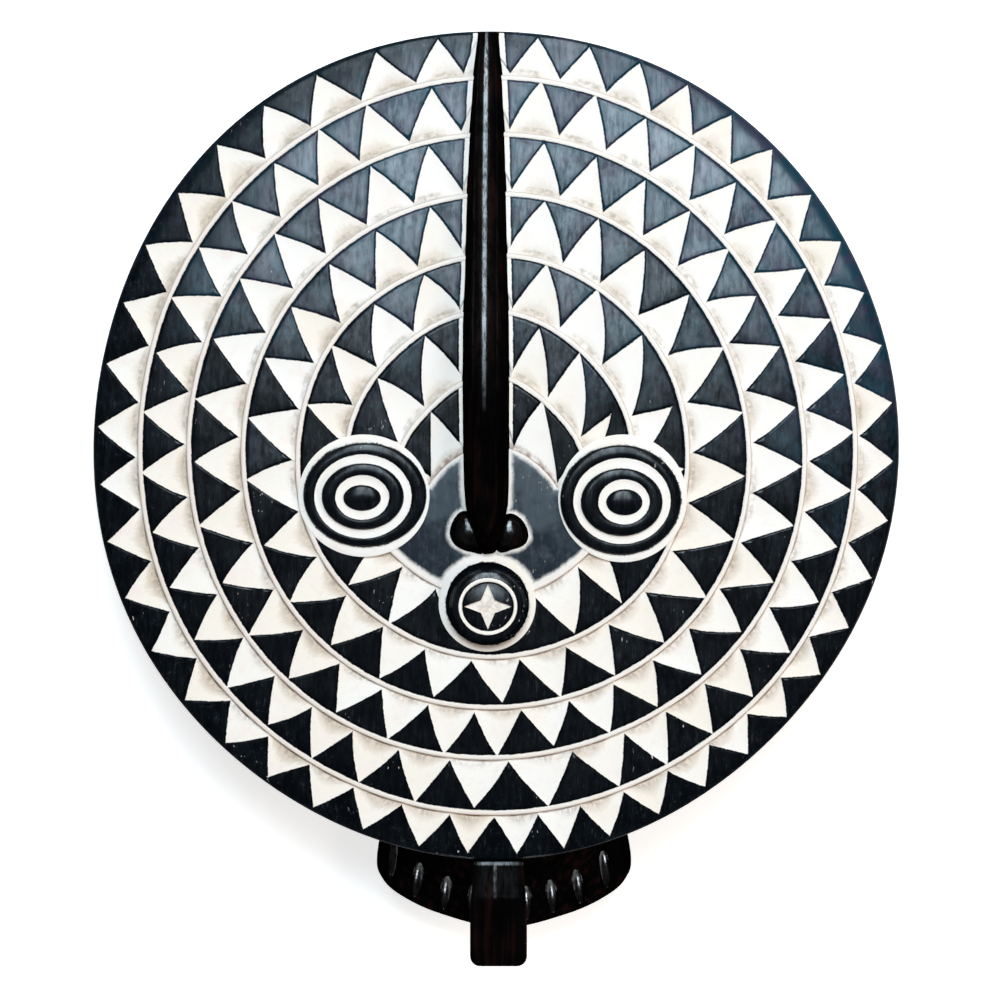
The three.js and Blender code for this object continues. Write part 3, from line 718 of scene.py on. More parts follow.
@contextmanager
def all_in_edit():
    """Edit mode on the active piece, with all of it selected."""
    bpy.ops.object.mode_set(mode="EDIT")
    bpy.ops.mesh.select_all(action="SELECT")
    yield
    bpy.ops.object.mode_set(mode="OBJECT")


def face_outwards():
    """Turns the faces of the active piece outwards."""
    with all_in_edit():
        bpy.ops.mesh.normals_make_consistent(inside=False)


def cut_line(place, normal):
    """Cuts all of the piece in edit mode along a plane."""
    bpy.ops.mesh.select_all(action="SELECT")
    bpy.ops.mesh.bisect(plane_co=place, plane_no=normal)


def write_attribute(piece, name, values):
    attributes = piece.data.attributes
    found = attributes.get(name) or attributes.new(name, "FLOAT", "POINT")
    found.data.foreach_set("value", np.broadcast_to(values, len(piece.data.vertices)).astype(np.float32))


def corners_of(piece):
    found = np.zeros(len(piece.data.vertices) * 3, np.float64)
    piece.data.vertices.foreach_get("co", found)
    return found.reshape(-1, 3)


def move_corners(piece, points):
    piece.data.vertices.foreach_set("co", np.asarray(points, np.float64).ravel())
    piece.data.update()


def settle(context, piece, name, crease, *finishes):
    """Smooths a piece made flat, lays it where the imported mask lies, and gives it its finishes."""
    pick(piece)
    bpy.ops.object.shade_smooth_by_angle(angle=math.radians(crease))
    piece.name = name
    piece.data.name = name
    piece.data.transform(LAID)
    points = corners_of(piece)
    points[:, 2] = np.maximum(points[:, 2], 0)
    move_corners(piece, points)
    chosen = np.zeros(len(piece.data.polygons), np.int32)
    piece.data.polygons.foreach_get("material_index", chosen)
    piece.data.materials.clear()
    for finish in finishes:
        piece.data.materials.append(material(context, finish))
    piece.data.polygons.foreach_set("material_index", chosen)
    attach(piece, "root")
    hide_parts(NODE)


def apply_modifier(piece, kind, **settings):
    pick(piece)
    made = piece.modifiers.new(kind, kind)
    for key, value in settings.items():
        setattr(made, key, value)
    bpy.ops.object.modifier_apply(modifier=made.name)


def cut_away(piece, cutter):
    """Takes the shape of the cutter out of the piece."""
    apply_modifier(piece, "BOOLEAN", operation="DIFFERENCE", object=cutter, solver="EXACT")
    bpy.data.objects.remove(cutter)


def round_edges(piece, width, degrees):
    """Rounds the edges that are sharper than so many degrees."""
    angle = math.radians(degrees)
    apply_modifier(piece, "BEVEL", width=width, segments=3, limit_method="ANGLE", angle_limit=angle)


def turn_up(sides, rows):
    """A closed stack of ovals (middle x, middle y, half width, half height, z), from the lowest up."""
    deselect()
    x, y, wide, tall, z = rows[0][:5]
    bpy.ops.mesh.primitive_circle_add(vertices=sides, radius=1, fill_type="TRIFAN", location=(x, y, z))
    piece = bpy.context.object
    bpy.ops.object.transform_apply(location=True, rotation=True, scale=True)
    with all_in_edit():
        bpy.ops.transform.resize(value=(wide, tall, 1), center_override=(x, y, z))
        for row in rows[1:]:
            there = Vector(row[:2] + row[4:5])
            move = there - Vector((x, y, z))
            bpy.ops.mesh.extrude_region_move(TRANSFORM_OT_translate={"value": move})
            bpy.ops.transform.resize(value=(row[2] / wide, row[3] / tall, 1), center_override=there)
            (x, y, z), wide, tall = there, row[2], row[3]
    face_outwards()
    return piece


def draw_up(sides, levels, fill):
    """Draws a circle up in steps of 1. Gives back the piece and each corner's level, x and y."""
    deselect()
    bpy.ops.mesh.primitive_circle_add(vertices=sides, radius=1, fill_type=fill, location=(0, 0, 0))
    piece = bpy.context.object
    with all_in_edit():
        for _ in range(levels - 1):
            bpy.ops.mesh.extrude_region_move(TRANSFORM_OT_translate={"value": (0, 0, 1)})
    x, y, z = corners_of(piece).T
    return piece, np.rint(z).astype(int), x, y


def count_round(a, b, count):
    """The number of a corner on its circle, from where b points towards where a points."""
    return np.rint(np.arctan2(a, b) / (TURN / count)).astype(int) % count


def far_edge(middle, outline, around):
    """Distance from a middle to an outline at the angles around it, clockwise from the top."""
    outline = np.asarray(outline, float)
    angle = np.arctan2(outline[:, 0] - middle[0], outline[:, 1] - middle[1]) % TURN
    span = np.hypot(*(outline - middle).T)
    order = np.argsort(angle)
    return np.interp(around, angle[order], span[order], period=TURN)


def rounded(outline, steps=12):
    """A smooth closed line through the given points."""
    marks = np.asarray(outline, float)
    count = len(marks)
    found = []
    for i in range(count):
        a, b, c, d = (marks[(i + k) % count] for k in (-1, 0, 1, 2))
        bend = 2 * a - 5 * b + 4 * c - d
        twist = 3 * b - a - 3 * c + d
        for t in np.linspace(0, 1, steps, endpoint=False):
            found.append(0.5 * (2 * b + (c - a) * t + bend * t ** 2 + twist * t ** 3))
    return np.array(found)


def raise_pad(middle, far, rows):
    """A low pad over the board: an outline, given as distances around its middle, stepped in by
    rows of (share of the outline, rise). Gives back the piece and how far inside the outline
    each corner is."""
    around = np.linspace(0, TURN, len(far), endpoint=False)
    sizes = [1 - 0.02 * index for index in range(len(rows))]
    piece = turn_up(len(far), [(*middle, size, size, index) for index, size in enumerate(sizes)])
    points = corners_of(piece)
    index = np.rint(points[:, 2]).astype(int)
    shares, rises = np.array(rows).T
    off = points[:, :2] - np.array(middle)
    angle = np.arctan2(off[:, 0], off[:, 1]) % TURN
    outer = np.interp(angle, around, far, period=TURN)
    span = np.where(np.hypot(*off.T) < 1e-4, 0, outer * shares[index])
    points[:, 0] = middle[0] + span * np.sin(angle)
    points[:, 1] = middle[1] + span * np.cos(angle)
    points[:, 2] = crown(points[:, 0], points[:, 1]) + rises[index]
    move_corners(piece, points)
    return piece, outer - span


def paint_rows(piece, rows):
    """Writes each corner's paint edge from the row that it was turned in, and gives them back."""
    points = corners_of(piece)
    best = np.full(len(points), 1e9)
    value = np.zeros(len(points))
    for x, y, wide, tall, z, edge in rows:
        span = np.hypot((points[:, 0] - x) / wide, (points[:, 1] - y) / tall)
        off = np.abs(span - 1) * min(wide, 20) + np.abs(points[:, 2] - z) * 3
        closer = off < best - 1e-6
        best[closer] = off[closer]
        value[closer] = edge
    write_attribute(piece, "paint_edge", value)
    write_attribute(piece, "base", NO_FOOT)
    write_attribute(piece, "across", 1)
    return value


class Sheet:
    """Points and faces of the board as they are laid out, with what its paint needs to know."""

    def __init__(self):
        self.points = []
        self.paint = {name: [] for name in ("paint_edge", "base", "across", "tooth", "stain")}
        self.faces = []
        self.back = []

    def row(self, xy, rise, edge, base=NO_FOOT, across=1.0, tooth=0.5, stain=0.0):
        """Adds a row of points over the domed face and gives back their numbers."""
        start = len(self.points)
        self.points.extend(np.column_stack([xy, crown(xy[:, 0], xy[:, 1]) + rise]))
        for store, value in zip(self.paint.values(), (edge, base, across, tooth, stain)):
            store.extend(np.broadcast_to(value, len(xy)))
        return np.arange(start, start + len(xy))

    def strip(self, inner, outer, behind=0):
        """Four-sided faces between two closed rows of the same count."""
        around = np.column_stack([inner, np.roll(inner, -1), np.roll(outer, -1), outer])
        self.faces.extend(around.tolist())
        self.back.extend([behind] * len(inner))

    def fan(self, row, middle, behind=0):
        """Three-sided faces from a row to a middle point."""
        for a, b in zip(row, np.roll(row, -1)):
            self.faces.append([middle, b, a])
            self.back.append(behind)

    def zip(self, inner, inner_angles, outer, outer_angles, behind=0):
        """Three-sided faces between two closed rows whose counts differ."""
        i = j = 0
        m, n = len(inner), len(outer)
        while i < m or j < n:
            next_in = inner_angles[(i + 1) % m] + (TURN if i + 1 >= m else 0)
            next_out = outer_angles[(j + 1) % n] + (TURN if j + 1 >= n else 0)
            if j >= n or (i < m and next_in <= next_out):
                self.faces.append([inner[i % m], inner[(i + 1) % m], outer[j % n]])
                i += 1
            else:
                self.faces.append([inner[i % m], outer[(j + 1) % n], outer[j % n]])
                j += 1
            self.back.append(behind)

    def piece(self, name):
        """The mesh itself, its faces pointing outwards."""
        mesh = bpy.data.meshes.new(name)
        faces = [list(map(int, face)) for face in self.faces]
        mesh.from_pydata([tuple(point) for point in self.points], [], faces)
        piece = bpy.data.objects.new(name, mesh)
        bpy.context.scene.collection.objects.link(piece)
        mesh.polygons.foreach_set("material_index", np.asarray(self.back, np.int32))
        for key, values in self.paint.items():
            write_attribute(piece, key, values)
        pick(piece)
        face_outwards()
        return piece


def band_columns(corner, point, reach, bow, share, radius, steep):
    """Angles across a band at one share of its width, white columns first, and the white's sides."""
    after = after_it(corner)
    along = np.clip((share - TIP_REACH) / (reach - TIP_REACH), 0, 1)
    lean = bow * 4 * along * (1 - along) / radius
    left = mix(corner, point, along) + lean[0]
    right = mix(after, point, along) + lean[1]
    hair = HAIR / radius
    pinch = np.clip(hair - (right - left) / 2, 0, None)
    left, right = left - pinch, right + pinch
    left = np.maximum(left, corner + hair * (along <= 0))
    right = np.minimum(right, after - hair * (along <= 0))
    next_left = after_it(left)
    gap = next_left - right
    pale = [mix(left, right, column) for column in PALE_COLUMNS]
    near_right = [np.minimum(off / radius / steep, gap * most) for off, most in WALL_COLUMNS]
    near_left = [np.minimum(off / radius / np.roll(steep, -1), gap * most) for off, most in WALL_COLUMNS]
    start, end = right + near_right[-1], next_left - near_left[-1]
    inside = [mix(start, end, part) for part in DARK_SHARES]
    dark = [right + off for off in near_right] + inside + [next_left - off for off in reversed(near_left)]
    return np.stack(pale + dark, axis=1).reshape(len(corner), -1), left, right, next_left


def lay_band(sheet, number, rng, cut):
    """One band of triangles between two ring lines. Gives back its first and its last row, each as
    point numbers, angles and paint edges."""
    corner, point = tooth_angles(BANDS[number])
    count = len(corner)
    inner, outer = RINGS[number + 1], RINGS[number]
    out = -FRONT_BEVEL if number == 0 else 0.0
    radius = (outer[2] + inner[2]) / 2
    deep = np.linalg.norm(ring_points(outer, 0, out) - ring_points(inner, 0, RIDGE_WIDE))
    merged = rng.random(count) < MERGED
    reach = np.where(merged, rng.uniform(*MERGED_REACH, count), rng.uniform(*SHORT_REACH, count))
    if number == 0:
        reach = rng.uniform(*EDGE_REACH, count)
    bow = rng.normal(0, BOW, (2, count))
    tooth = rng.random(count)
    lean = rng.normal(0, LAND_LEAN, (2, count))
    half = (np.roll(corner, -1) - corner) % TURN * radius / 2
    steep = deep / np.hypot(deep, half)
    rows = []
    for share in BAND_ROWS:
        here = mix(inner[2] + RIDGE_WIDE, outer[2] + out, share)
        angles, left, right, next_left = band_columns(corner, point, reach, bow, share, here, steep)
        xy = mix(ring_points(inner, angles, RIDGE_WIDE), ring_points(outer, angles, out), share)
        across = np.ones_like(angles)
        rise = np.zeros_like(angles)
        paint = np.zeros_like(angles)
        level = np.minimum(share / reach, 1)
        past = np.clip(share - reach, 0, None) * deep
        short = max(TIP_REACH - share, 0) * deep
        side = mix(SIDE_DEPTH, POINT_DEPTH, level) * cut
        for column, t in enumerate(PALE_COLUMNS):
            a = angles[:, column]
            across[:, column] = 2 * t - 1
            base = mix(SIDE_DEPTH, BASE_DEPTH, 1 - (2 * t - 1) ** 2)
            rise[:, column] = -cut * mix(base, POINT_DEPTH, level ** 0.85)
            near = np.minimum(a - left, right - a) * here * steep
            paint[:, column] = np.where(past > 0, -past, np.hypot(near, short))
        for column in range(len(PALE_COLUMNS), angles.shape[1]):
            a = angles[:, column]
            from_left = np.hypot((a - right) * here * steep, past)
            from_right = np.hypot((next_left - a) * here * np.roll(steep, -1), np.roll(past, -1))
            near = np.minimum(from_left, from_right)
            wall = np.clip(1 - near / WALL_WIDE, 0, 1) ** 1.6
            width = np.maximum((next_left - right) * here, 1e-3)
            q = np.clip((a - right) * here / width, 0, 1)
            swell = 4 * q * (1 - q) * min(width.mean() / 30, 1) * LAND_SWELL
            slant = lean[0] * (a - np.roll(corner, -1)) * here + lean[1] * (share - 0.7) * deep
            slant = np.where(np.arange(count) == count - 1, 0, slant) * np.clip(near / 1.2, 0, 1)
            rise[:, column] = swell + slant - side * wall
            paint[:, column] = -near if short == 0 else short - near * 0.5
        to_ring = (1 - share) * deep
        if number == 0:
            rise = rise - EDGE_DROP * max(0, 1 - to_ring / EDGE_ROUND) ** 2
        else:
            dip = max(0, 1 - to_ring / GROOVE_WIDE)
            rise = np.where(paint < 0, rise - GROOVE * dip, rise)
            paint = np.where(paint < 0, np.maximum(paint, -(to_ring + 0.35)), paint)
        # A painted shadow, red-brown, just outside the brow ring line.
        brow = BROW_SHADOW * max(0, 1 - share * deep / 5) if number == len(BANDS) - 1 else 0
        numbers = sheet.row(
            xy.reshape(-1, 2), rise.ravel(), paint.ravel(), share * deep, across.ravel(),
            np.repeat(tooth, angles.shape[1]), brow)
        rows.append((numbers, angles.ravel(), paint.ravel()))
    for low, high in zip(rows, rows[1:]):
        sheet.strip(low[0], high[0])
    return rows[0], rows[-1]


def tips_only(paint):
    """Paint edges where white points reach, and black elsewhere."""
    return np.where(paint > 0, paint, ALL_BLACK)


def lay_ridge(sheet, ring, inside, outside, proud):
    """A rounded ring line between the last row of one band and the first row of the next one out.
    Gives back the first of its rows with the outer band's points."""
    if inside is not None:
        last, angles, paint = inside
        for out, rise in RIDGE_INSIDE:
            edge = np.maximum(out - 0.35, tips_only(paint))
            row = sheet.row(ring_points(ring, angles, out), rise * proud, edge, RIDGE_MARK)
            sheet.strip(last, row)
            last = row
    rows = []
    for out, rise in RIDGE_OUTSIDE:
        place = ring_points(ring, outside[1], out)
        rows.append(sheet.row(place, rise * proud, ALL_WHITE, RIDGE_MARK))
    if inside is not None:
        sheet.zip(last, angles, rows[0], outside[1])
    for low, high in zip(rows, rows[1:] + [outside[0]]):
        sheet.strip(low, high)
    return rows[0]


def lay_side(sheet, last, angles, paint):
    """The board's side, black but for the points that run over its edge."""
    for index, (out, rise) in enumerate(SIDE_ROWS):
        edge = np.maximum(-1.0 - 2 * index, tips_only(paint) - index * 0.9)
        row = sheet.row(ring_points(RINGS[0], angles, out), rise, edge)
        sheet.strip(last, row)
        last = row
    return last


def lay_back(sheet, side, angles):
    """The plain back, a little uneven, with a third of the side's points."""
    middle = np.array(RINGS[0][:2])
    behind = angles[::3]
    out, rise = BACK_CORNER
    corner = sheet.row(ring_points(RINGS[0], behind, out), rise - BOARD_THICK, ALL_BLACK)
    sheet.zip(side, angles, corner, behind, 1)
    last = sheet.row(ring_points(RINGS[0], behind, -BACK_BEVEL), -BOARD_THICK, ALL_BLACK)
    sheet.strip(corner, last, 1)
    for share in BACK_SHARES:
        xy = middle + (ring_points(RINGS[0], behind, 0) - middle) * share
        wave = np.sin(xy[:, 0] * 0.19 + 2 * np.sin(xy[:, 1] * 0.05)) * np.cos(xy[:, 1] * 0.11)
        row = sheet.row(xy, -BOARD_THICK + BACK_ROUGH + BACK_ROUGH * wave, ALL_BLACK)
        sheet.strip(last, row, 1)
        last = row
    centre = sheet.row(middle[None], -BOARD_THICK + BACK_ROUGH, ALL_BLACK)[0]
    sheet.fan(last[::-1], centre, 1)


def build_board(carving):
    """The board, laid out from the middle of its face to its edge and in again behind."""
    rng = np.random.default_rng(11)
    sheet = Sheet()
    inside = None
    for number in range(len(BANDS) - 1, -1, -1):
        ring = RINGS[number + 1]
        first, final = lay_band(sheet, number, rng, carving.cut)
        proud = carving.ridge * (0.5 if inside is None else 1)
        start = lay_ridge(sheet, ring, inside, first, proud)
        if inside is None:
            middle = sheet.row(np.array([ring[:2]]), proud, ALL_WHITE)[0]
            sheet.fan(start, middle)
        inside = final
    lay_back(sheet, lay_side(sheet, *inside), inside[1])
    return sheet.piece("board")


def tone(name, description, default):
    """A colour setting."""
    return FloatVectorProperty(
        name=name, description=description, default=default, subtype="COLOR", size=3, min=0, max=1)


def power(name, description, default):
    """A lamp's power setting."""
    return FloatProperty(name=name, description=description, default=default, min=0, unit="POWER")


class MaskPaints(bpy.types.PropertyGroup):
    """Colours of the mask."""

    black: tone("Black paint", "Glossy black of the raised triangles", (0.0016, 0.0022, 0.0032))
    worn_black: tone("Worn black", "Black paint where it is thin", (0.0036, 0.005, 0.007))
    # The strokes are partly painted glints of grain catching the light; the same tone also gives the dust at
    # the rim.
    hair: tone("Brush strokes", "Grain and strokes that show in the black paint", (0.035, 0.042, 0.046))
    # Painted sheen: the blue and violet that the black turns to towards the top and the right; the cheeks
    # take a little of them as a tint.
    haze_and_sheen: tone("Blue haze", "Black paint where it has faded blue", (0.008, 0.034, 0.052))
    violet_haze_and_sheen: tone("Violet haze", "Black paint where it has faded violet", (0.026, 0.030, 0.052))
    white: tone("White paint", "White of the cut triangles", (0.86, 0.775, 0.715))
    warm_white: tone("Aged white", "White paint where it has yellowed", (0.85, 0.735, 0.635))
    pink_white: tone("Pink white", "White paint where the ground shows pink", (0.85, 0.705, 0.64))
    thin_white: tone("Thin white", "White paint where it is thin", (0.60, 0.54, 0.47))
    ridge_white: tone("Ring white", "White paint of the ring lines", (0.76, 0.63, 0.55))
    # Painted shade in the hollow at the foot of a triangle.
    tan: tone("Tan", "White paint rubbed thin at the foot of a triangle", (0.58, 0.44, 0.33))
    olive: tone("Grey smudge", "Smudges beside the ring lines above", (0.34, 0.27, 0.19))
    # Painted shade and dirt at the foot of the cut triangles, stronger below.
    grime_and_shade: tone("Grime", "Dirt at the foot of the cut triangles below", (0.17, 0.11, 0.075))
    # Painted shadow outside the brow ring, and brown stain and painted shade in the star's middle.
    stain: tone("Stain", "Red-brown stains at the brow and in the star", (0.22, 0.12, 0.09))
    slate: tone("Slate", "Grey of the plain cheeks", (0.060, 0.072, 0.082))
    pale_slate: tone("Pale slate", "Brushed streaks on the cheeks", (0.13, 0.15, 0.165))
    deep_slate: tone("Deep slate", "Grey of the cheeks where it darkens", (0.010, 0.0125, 0.018))
    nose: tone("Nose", "Dark wood of the nose, cup and tab", (0.0009, 0.0007, 0.0008))
    worn_nose: tone("Worn nose", "Dark wood where its stain is thin", (0.0020, 0.0016, 0.0016))
    red_nose: tone("Red streaks", "Red-brown streaks in the dark wood", (0.0075, 0.0024, 0.0022))
    back: tone("Back", "Stained wood behind", (0.035, 0.02, 0.013))


class MaskCarving(bpy.types.PropertyGroup):
    """Sizes of the carving."""

    cut: FloatProperty(
        name="Cut depth", description="Depth of the cut triangles, as a share of the real ones",
        default=1.0, min=0.2, max=1.3, subtype="FACTOR")
    ridge: FloatProperty(
        name="Ridge height", description="Height of the ring lines over the board, in millimetres",
        default=0.6, min=0.1, max=1.2)


class MaskStage(bpy.types.PropertyGroup):
    """The studio."""

    floor: tone("Floor", "Colour of the floor", (0.93, 0.9, 0.87))
    panel: power("Panel", "Power of the large soft light", 98.0)
    low: power("Low light", "Power of the low light at the chin", 40.0)
    sky: power("Sky", "Power of the light that the gloss alone shows", 330.0)
    fill: power("Fill", "Power of the warm light from the right", 22.0)
    world: FloatProperty(
        name="Room light", description="Strength of the light all round", default=0.17, min=0)


def add_lamp(context, name, place, size, watts, tint, mirrored):
    """A rectangular lamp in the flat mask's frame, aimed at its middle."""
    lamp = bpy.data.lights.new(name, "AREA")
    lamp.shape = "RECTANGLE"
    lamp.size, lamp.size_y = size
    lamp.energy = watts
    lamp.color = tint
    light = bpy.data.objects.new(name, lamp)
    context.scene.collection.objects.link(light)
    there = LAID @ Vector(place)
    light.location = there
    light.rotation_mode = "QUATERNION"
    light.rotation_quaternion = (LAID @ Vector((0, 0, 0)) - there).to_track_quat("-Z", "Y")
    light.visible_glossy = mirrored
    light.visible_diffuse = name != "sky"


class StageOperator(bpy.types.Operator):
    """Sets the floor, the lights and the camera"""

    bl_idname = "sunmask.stage"
    bl_label = "Stage"

    def execute(self, context):
        settings = context.scene.mask_stage
        deselect()
        bpy.ops.mesh.primitive_plane_add(size=FLOOR_SIZE, location=(0, 0, 0))
        floor = context.object
        floor.name = "floor"
        shade = Shade("floor")
        glow = {"Emission Color": (0.9, 0.9, 0.9, 1), "Emission Strength": 0.7}
        paint = shade.finish({"Base Color": colour(settings.floor), "Roughness": 0.9, **glow})
        floor.data.materials.append(paint)

        data = bpy.data.cameras.new("camera")
        camera = bpy.data.objects.new("camera", data)
        context.scene.collection.objects.link(camera)
        data.sensor_width = SENSOR
        data.lens = SENSOR * VIEW_FROM / (VIEW_WIDE * PICTURE[1] / PICTURE[0])
        data.clip_end = 100
        there = LAID @ (VIEW_MIDDLE + Vector((0, 0, VIEW_FROM)))
        camera.matrix_world = Matrix.Translation(there) @ Matrix.Rotation(TILT, 4, "X")
        context.scene.camera = camera

        for lamp in (
            ("panel", (60, 810, 3000), (1.4, 0.99), settings.panel, (0.80, 0.98, 1.10), True),
            ("fill", (1900, -500, 2300), (1.1, 1.1), settings.fill, (1.15, 1.0, 0.86), False),
            ("low", (0, -3000, -430), (0.7, 0.6), settings.low, (0.9, 0.97, 1.05), True),
            ("sky", (0, 2120, 2120), (1.6, 2.3), settings.sky, (0.82, 0.97, 1.08), True),
        ):
            add_lamp(context, *lamp)

        world = bpy.data.worlds.new("room")
        world.use_nodes = True
        background = world.node_tree.nodes["Background"]
        background.inputs["Color"].default_value = (1.0, 1.0, 0.98, 1)
        background.inputs["Strength"].default_value = settings.world
        context.scene.world = world
        context.scene.view_settings.view_transform = "Standard"
        return {"FINISHED"}


class BoardOperator(bpy.types.Operator):
    """Carves the round board with its rings of triangles"""

    bl_idname = "sunmask.board"
    bl_label = "Board"

    def execute(self, context):
        piece = build_board(context.scene.mask_carving)
        settle(context, piece, "board", 40, "face_paint", "back_wood")
        return {"FINISHED"}


class EyesOperator(bpy.types.Operator):
    """Turns the two stepped eyes"""

    bl_idname = "sunmask.eyes"
    bl_label = "Eyes"

    def execute(self, context):
        for name, ovals in (("eye_left", LEFT_EYE), ("eye_right", RIGHT_EYE)):
            rows = [oval + step for oval, step in zip(ovals, EYE_STEPS)]
            piece = turn_up(EYE_SIDES, rows)
            paint_rows(piece, rows)
            points = corners_of(piece)
            points[:, 2] += crown(points[:, 0], points[:, 1])
            move_corners(piece, points)
            settle(context, piece, name, 50, "face_paint")
        return {"FINISHED"}


def star_cutter(x, y):
    """The star-shaped bowl between the teeth, as a piece that cuts it."""
    deep = STAR["deep"]
    deselect()
    bpy.ops.mesh.primitive_cylinder_add(
        vertices=8, radius=1, depth=deep + STAR_OVER, end_fill_type="TRIFAN",
        location=(x, y, MOUTH_TOP - deep / 2 + STAR_OVER / 2))
    cutter = bpy.context.object
    bpy.ops.object.transform_apply(location=True, rotation=True, scale=True)
    points = corners_of(cutter)
    for point in points:
        across, up = point[0] - x, point[1] - y
        if math.hypot(across, up) < 0.5:
            continue
        angle = math.atan2(across, up)
        kind = "tip" if round(angle / (TURN / 8)) % 2 == 0 else "waist"
        at_floor = point[2] < MOUTH_TOP - deep / 2
        span = STAR["floor_" + kind] if at_floor else STAR[kind]
        point[0] = x + math.sin(angle) * span
        point[1] = y + math.cos(angle) * span * STAR_SQUAT
    move_corners(cutter, points)
    return cutter


class MouthOperator(bpy.types.Operator):
    """Turns the mouth tube and cuts the star between its teeth"""

    bl_idname = "sunmask.mouth"
    bl_label = "Mouth"

    def execute(self, context):
        piece = turn_up(MOUTH_SIDES, MOUTH)
        x, y = MOUTH[-1][:2]
        cut_away(piece, star_cutter(x, y))
        edge = paint_rows(piece, MOUTH)
        points = corners_of(piece)
        reach = np.hypot(points[:, 0] - x, points[:, 1] - y)
        floor = (points[:, 2] < MOUTH_TOP - STAR["deep"] + 0.5) & (reach < STAR["tip"])
        gloss = np.where(points[:, 1] < y, GLOSS_BELOW, GLOSS_ABOVE)
        flank = (reach > STAR["tip"] + 5) & (points[:, 2] < MOUTH_TOP - gloss)
        write_attribute(piece, "paint_edge", np.where(floor, ALL_WHITE, edge))
        write_attribute(piece, "across", np.where(floor, 0.1, 1))
        # Brown stain and painted shade in the middle of the star's floor.
        write_attribute(piece, "stain", np.where(floor, STAR_STAIN_AND_SHADE * np.clip(1.2 - reach / 9, 0, 1), 0))
        write_attribute(piece, "matte", flank)
        write_attribute(piece, "tooth", 1)
        foot = np.clip(1 - (points[:, 2] - 3) / MOUTH_SHOULDER, 0, 1)
        points[:, 2] += mix(crown(*MOUTH[0][:2]), crown(points[:, 0], points[:, 1]), foot)
        move_corners(piece, points)
        settle(context, piece, "mouth", 40, "face_paint")
        return {"FINISHED"}


class CheeksOperator(bpy.types.Operator):
    """Shapes the plain cheeks between the eyes, nose and mouth"""

    bl_idname = "sunmask.cheeks"
    bl_label = "Cheeks"

    def execute(self, context):
        around = np.linspace(0, TURN, CHEEK_SIDES, endpoint=False)
        fine = np.linspace(0, TURN, 1440, endpoint=False)
        lower = ring_points(RINGS[5], fine, CHEEK_OVER_RING)
        lower[:, 1] = np.minimum(lower[:, 1], CHEEK_TOP)
        brow = ring_points(RINGS[7], fine, CHEEK_OVER_BROW)
        far = np.maximum(far_edge(CHEEK_MIDDLE, lower, around), far_edge(CHEEK_MIDDLE, brow, around))
        shares = np.linspace(1, 0.01, CHEEK_ROUNDS)
        rises = mix(CHEEK_FOOT, CHEEK_RISE, 1 - shares ** 8)
        rows = [(1, -SINK), *zip(shares.tolist(), rises.tolist())]
        piece, inside = raise_pad(CHEEK_MIDDLE, far, rows)
        points = corners_of(piece)
        edge = np.where(points[:, 1] < JAW_BELOW, JAW_LINE, CHEEK_LINE) - inside
        for _, outline in (NOSTRIL_LEFT, NOSTRIL_RIGHT):
            apart = points[:, None, :2] - rounded(outline)[None]
            edge = np.maximum(edge, NOSTRIL_LINE - np.hypot(apart[..., 0], apart[..., 1]).min(axis=1))
        x, y, wide, tall = MOUTH[0][:4]
        off_mouth = (np.hypot((points[:, 0] - x) / wide, (points[:, 1] - y) / tall) - 1) * tall
        write_attribute(piece, "paint_edge", np.maximum(edge, MOUTH_LINE - off_mouth))
        write_attribute(piece, "base", NO_FOOT)
        write_attribute(piece, "across", 1)
        settle(context, piece, "cheeks", 40, "cheek_paint")
        return {"FINISHED"}


def draw_fin():
    """The nose fin, drawn out along its sections, shiny on its crest."""
    section = NOSE_SECTION + [(-across, up) for across, up in reversed(NOSE_SECTION[:-1])]
    across, up = np.array(section).T
    marks = np.array(sorted(NOSE), float)
    places = np.linspace(marks[0, 0], marks[-1, 0], NOSE_STEPS)
    places = np.unique(np.concatenate([places, marks[:, 0]]))
    piece, level, x, y = draw_up(len(section), len(places), "NGON")
    order = count_round(y, x, len(section))
    across, up = across[order], up[order]
    along = places[level]
    middle, half, high = [np.interp(along, marks[:, 0], marks[:, i]) for i in (1, 2, 3)]
    low = crown(middle, along) - SINK
    leant = middle + half * across + CREST_LEAN * up ** 3
    move_corners(piece, np.column_stack([leant, along, mix(low, high, up)]))
    face_outwards()
    write_attribute(piece, "shine", np.interp(up, *CREST_SHINE) * np.interp(along, *FIN_SHINE))
    return piece


class NoseOperator(bpy.types.Operator):
    """Draws out the long nose fin and its two nostrils"""

    bl_idname = "sunmask.nose"
    bl_label = "Nose"

    def execute(self, context):
        settle(context, draw_fin(), "nose", 60, "dark_wood")
        around = np.linspace(0, TURN, NOSTRIL_SIDES, endpoint=False)
        for name, (middle, outline) in (("nostril_left", NOSTRIL_LEFT), ("nostril_right", NOSTRIL_RIGHT)):
            lobe, _ = raise_pad(middle, far_edge(middle, rounded(outline), around), NOSTRIL_ROWS)
            points = corners_of(lobe)
            rise = points[:, 2] - crown(points[:, 0], points[:, 1])
            write_attribute(lobe, "shine", np.interp(rise, *NOSTRIL_SHINE))
            settle(context, lobe, name, 60, "dark_wood")
        return {"FINISHED"}


def cup_loop(share, steps):
    """The cup's outline at a share of its depth, clockwise from the forehead."""
    flare = share ** CUP_FLARE
    half = [mix(np.array(a, float), np.array(b, float), flare) for a, b in zip(CUP_FRONT, CUP_RIM)]
    marks = half + [np.array((-x, y)) for x, y in reversed(half[1:-1])]
    return rounded(marks, steps) + np.array([CUP_X, 0])


def cup_level(share):
    """The height of that outline."""
    return mix(SINK - BOARD_THICK, -BOARD_THICK - CUP_DEEP, share)


